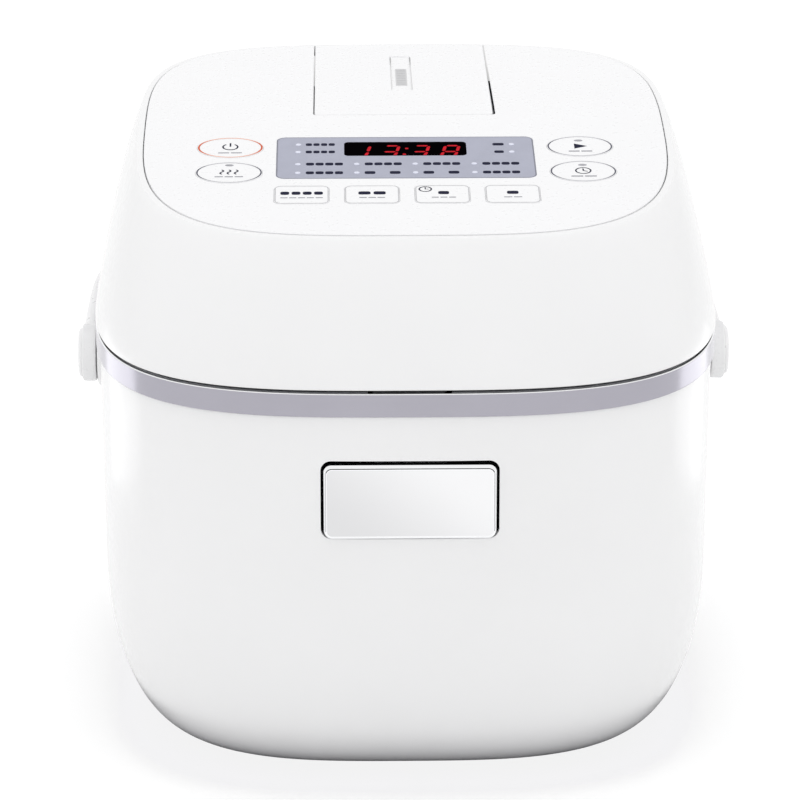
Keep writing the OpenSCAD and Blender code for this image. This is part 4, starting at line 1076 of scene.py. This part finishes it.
FILM_INK = 0.215  # height of the print on the film
FILM_TOP = [(0, 0.12), (0.06, 0.2)]
b = sheet_of(display_at, [grown(window_at, 0.03)], [(0, -0.8)] + FILM_TOP)
b.band(display_at, 0.08, 0.42, FILM_INK, 1)
b.done("display_plate", [FILM, FILM_EDGE], "lid", "display_panel", on_deck=True,
       slot="display_film")
Build().loft([ring(window_at(d), h) for d, h in [(0, -2.5)] + FILM_TOP],
             cap_start=0, cap_end=0).done(
    "display_window", LENS, "lid", "display_lens", on_deck=True, slot="dark_lens")

SEGMENTS = {"1": "bc", "3": "abgcd", "8": "abcdefg"}
DIGIT_W, DIGIT_L, DIGIT_T, DIGIT_LEAN, DIGIT_H = 4.6, 10.4, 1.1, 0.16, 0.23
DIGIT_TOP = 3.6  # from the window's upper edge
window_low, window_high = window_at(0)[:, 1].min(), window_at(0)[:, 1].max()


def digit(b, figure, x0):
    """A slanting seven-segment figure; what falls below the window's edge isn't seen."""
    w, l, t = DIGIT_W, DIGIT_L, DIGIT_T
    low, y0 = window_low + 0.25, window_high - DIGIT_TOP - l
    ends = {"a": (0, l, w, l), "b": (w, l, w, l / 2), "c": (w, l / 2, w, 0), "d": (0, 0, w, 0),
            "e": (0, 0, 0, l / 2), "f": (0, l / 2, 0, l), "g": (0, l / 2, w, l / 2)}
    for segment in SEGMENTS[figure]:
        ax, ay, bx, by = ends[segment]
        a, e = np.array([ax, ay], float), np.array([bx, by], float)
        d = (e - a) / np.linalg.norm(e - a)
        a, e = a + d * 0.35, e - d * 0.35
        d, n = d * t / 2, np.array([-d[1], d[0]]) * t / 2
        q = [(x0 + x + DIGIT_LEAN * y, max(y0 + y, low))
             for x, y in (a, a + d + n, e - d + n, e, e - d - n, a + d - n)]
        if max(y for _, y in q) - low >= 0.2:
            b.polygon([(*p, DIGIT_H) for p in q], 0)


b = Build()
for figure, x in (("1", -18.1), ("3", -8.3), ("3", 1.8), ("8", 12.0)):
    digit(b, figure, x)
for x, down in ((0.5, 5.9), (-0.4, 11.0)):
    bar(b, x, window_high - down, 1.1, 1.2, DIGIT_H, 0)
b.done("display_digits", [RED], "lid", "led_display", on_deck=True, slot="led_red")

b = Build()
ROWS, COLUMNS = (-39.7, -47.2), (-36.2, -16.5, 3.1, 22.9)
lamps = [(-36.1, -22.6), (-36.2, -29.1), (36.0, -22.9), (35.9, -29.5)]
for x, y in lamps + [(x, y) for y in ROWS for x in COLUMNS]:
    b.plate(oval(x, y, 0.95, 0.95, 28), 0.34, 0, edge=0.2, drop=0.16)
for x, y, w, l, parts in ((-33.6, -22.6, 9.8, 2.3, 4), (-33.6, -29.1, 9.8, 2.3, 4),
                          (29.6, -22.9, 3.8, 2.2, 1), (30.0, -29.5, 3.2, 2.2, 1)):
    words(b, x + w / 2, y, w, l, FILM_INK, 1, parts)
for row, y in enumerate(ROWS):
    for col, x in enumerate(COLUMNS):
        if row and col in (1, 2):
            for k in (0, 1):
                bar(b, x + 4.4 + 8.4 * k, y, 3.6, 2.4, FILM_INK, 1)
        else:
            words(b, x + 8.9, y, 12.4, 2.4, FILM_INK, 1, 4)
b.done("display_marks", [LAMP, INK], "lid", on_deck=True, slot="display_film", weighted=False)

# ---------- Steam vent ----------

SLOT_FLOOR, SKIRT_LOW, TUBE_LOW = PROUD - 0.3, -7.8, -24.0
slot_at = round_rect(0, 64.25, 7.5, 51.5, 0.6)
b = sheet_of(cap_outline, [slot_at], EDGE, FINE, shade_beside_vent(41))
b.fill([slot_at(0)], SLOT_FLOOR)
# Thin lines along the slot's two edges: painted shade, pale at the front and dark at the rear.
for side in (-3.55, 3.55):
    b.stroke([(side, y) for y in np.linspace(40.5, 88.5, 9)], 0.3, PROUD + 0.02, 2)
b.loft([ring(cap_outline(d), h) for d, h in (
    (1.6, -PANEL_T), (1.6, SKIRT_LOW), (2.8, SKIRT_LOW), (2.8, -PANEL_T))])
b.lathe([(13.2, TUBE_LOW), (13.2, -PANEL_T), (12.0, -PANEL_T), (12.0, TUBE_LOW), (13.2, TUBE_LOW)],
        (0, 60, 0))
b.done("vent_cover", [PANEL, BLACK, SLOT_EDGE_SHADE], "vent", "vent_cap", on_deck=True, slot="panel_plastic")
b = Build()
b.plate(round_rect(0, 58.95, 4.1, 25.1, 0.5), 0.0, 0, edge=0.1, drop=0.4)
# Bars across the grille: painted shade of its slots.
for k in range(9):
    bar(b, 0, 48.6 + 2.6 * k, 3.2, 0.8, 0.03, 1)
b.done("vent_grille", [SOFT_GREY, EDGE_INK_AND_SHADE], "vent", "vent_insert", on_deck=True,
       slot="grey_plastic")

# ---------- Stage: floor and world ----------

FLOOR_SHADE_REACH = (1.2, 1.34)  # reach of the floor's painted shade, as a share of the foot's outline
# The floor's colour: dark violet near the foot, as painted shade, and pale farther out.
NEAR_SHADE_TONE, FAR_TONE = (0.03, 0.027, 0.045), (0.86, 0.86, 0.86)
NEAR_GLOW, FAR_GLOW = 0.88, 0.24  # what the camera is shown on top of the floor's own light; near the foot the sum stays a little under white, a painted contact shadow
HORIZON, HORIZON_AT = 0.45, (3.5, 14.0)
FLOOR_HALF, FLOOR_DOWN = 6, 0.0002
WORLD = 0.83  # light on the object; every seen ray gets 1


def light_ray(t, *kinds):
    """1 for rays of these kinds, 0 for others."""
    ray = node(t, "LightPath")
    out = ray.outputs[kinds[0]]
    for kind in kinds[1:]:
        out = calc(t, "MAXIMUM", out, ray.outputs[kind])
    return out


def foot_reach(t, position):
    """How far out a place is: 1 on the foot's outline, 2 at twice its distance."""
    place = node(t, "SeparateXYZ", Vector=position)
    terms = []
    for axis, middle, half in ((0, 0.0, HALF_W - FOOT_SIDE), (1, MIDDLE_Y, FRONT - FOOT_FRONT)):
        off = calc(t, "SUBTRACT", place.outputs[axis], middle / 1000)
        share = calc(t, "ABSOLUTE", calc(t, "DIVIDE", off, half / 1000))
        terms.append(calc(t, "POWER", share, BODY_P))
    return calc(t, "POWER", calc(t, "ADD", *terms), 1 / BODY_P)


def floor_material():
    """Pale floor with painted shade under the part and close round its foot, that shows white.

    It keeps the part's shadow, and from below it isn't seen."""
    m = bpy.data.materials.new("floor")
    m.use_nodes = True
    t = m.node_tree
    t.nodes.clear()
    geometry = node(t, "NewGeometry")
    reach = foot_reach(t, geometry.outputs["Position"])
    far = ranged(t, reach, 0, 1, *FLOOR_SHADE_REACH, soft=True)
    flat = node(t, "BsdfDiffuse", Color=mix(t, far, NEAR_SHADE_TONE, FAR_TONE))
    shown = calc(t, "ADD", ranged(t, far, NEAR_GLOW, FAR_GLOW),
                 ranged(t, reach, 0, HORIZON, *HORIZON_AT))
    seen = calc(t, "MULTIPLY", light_ray(t, "Is Camera Ray"), shown)
    # Reflections see no glow near the foot and more farther out: painted shade in what the part
    # mirrors.
    mirrored = calc(t, "MULTIPLY", light_ray(t, "Is Glossy Ray", "Is Transmission Ray"),
                    ranged(t, far, 0, FAR_GLOW))
    light = node(t, "Emission", Color=(1, 1, 1, 1), Strength=calc(t, "ADD", seen, mirrored))
    both = feed(t, node(t, "AddShader"), flat.outputs[0], light.outputs[0])
    sides = feed(t, node(t, "MixShader"), geometry.outputs["Backfacing"], both.outputs[0],
                 node(t, "BsdfTransparent").outputs[0])
    node(t, "OutputMaterial", Surface=sides.outputs[0])
    return m


me = bpy.data.meshes.new("floor")
me.from_pydata([(x * FLOOR_HALF, y * FLOOR_HALF, -FLOOR_DOWN)
                for x, y in ((-1, -1), (1, -1), (1, 1), (-1, 1))], [], [(0, 1, 2, 3)])
me.materials.append(floor_material())
add_object("floor", me)

world = bpy.data.worlds.new("studio")
scene.world = world
world.use_nodes = True
t = world.node_tree
t.nodes.clear()
seen = light_ray(t, "Is Camera Ray", "Is Glossy Ray", "Is Transmission Ray")
back = node(t, "Background", Color=(1, 1, 1, 1), Strength=ranged(t, seen, WORLD, 1))
node(t, "OutputWorld", Surface=back.outputs[0])

# ---------- Lamps and camera, in metres in the frame ----------

def aim(o, at, target):
    o.location = at
    o.rotation_euler = (Vector(target) - Vector(at)).to_track_quat("-Z", "Y").to_euler()


def softbox(name, at, target, w, h, power):
    """A large soft lamp that neither the camera nor a reflection shows."""
    d = bpy.data.lights.new(name, "AREA")
    d.shape, d.size, d.size_y, d.energy = "RECTANGLE", w, h, power
    o = bpy.data.objects.new(name, d)
    aim(o, at, target)
    o.visible_camera = o.visible_glossy = False
    return link(o)


def kicker(name, at, target, w, h, power):
    """A low card of light that only the bright trim shows."""
    o = softbox(name, at, target, w, h, power)
    o.visible_glossy, o.visible_diffuse, o.visible_transmission = True, False, False


softbox("side_left", (-1.4, 0, 0.25), (0, 0, 0.1), 1.0, 0.5, 1.5)
softbox("side_right", (1.4, 0, 0.25), (0, 0, 0.1), 1.0, 0.5, 1.4)
softbox("front", (0, -2.1, 0.25), (0, 0, 0.08), 1.8, 0.5, 4.3)
softbox("top", (0, 0, 1.6), (0, 0, 0.12), 1.2, 1.2, 5.2)
for side in (-1, 1):
    kicker("kicker", (side * 0.31, 0.085, 0.045), (side * 0.1, -0.1, 0.13), 0.2, 0.09, 0.05)

cam_data = bpy.data.cameras.new("camera")
cam_data.lens, cam_data.sensor_width, cam_data.shift_x = 188.1, 36, -0.0049
camera = link(bpy.data.objects.new("camera", cam_data))
aim(camera, (-0.0236, -1.413, 0.5536), (0, MIDDLE_Y / 1000, 0.1))
scene.camera = camera
scene.view_settings.view_transform = "Standard"
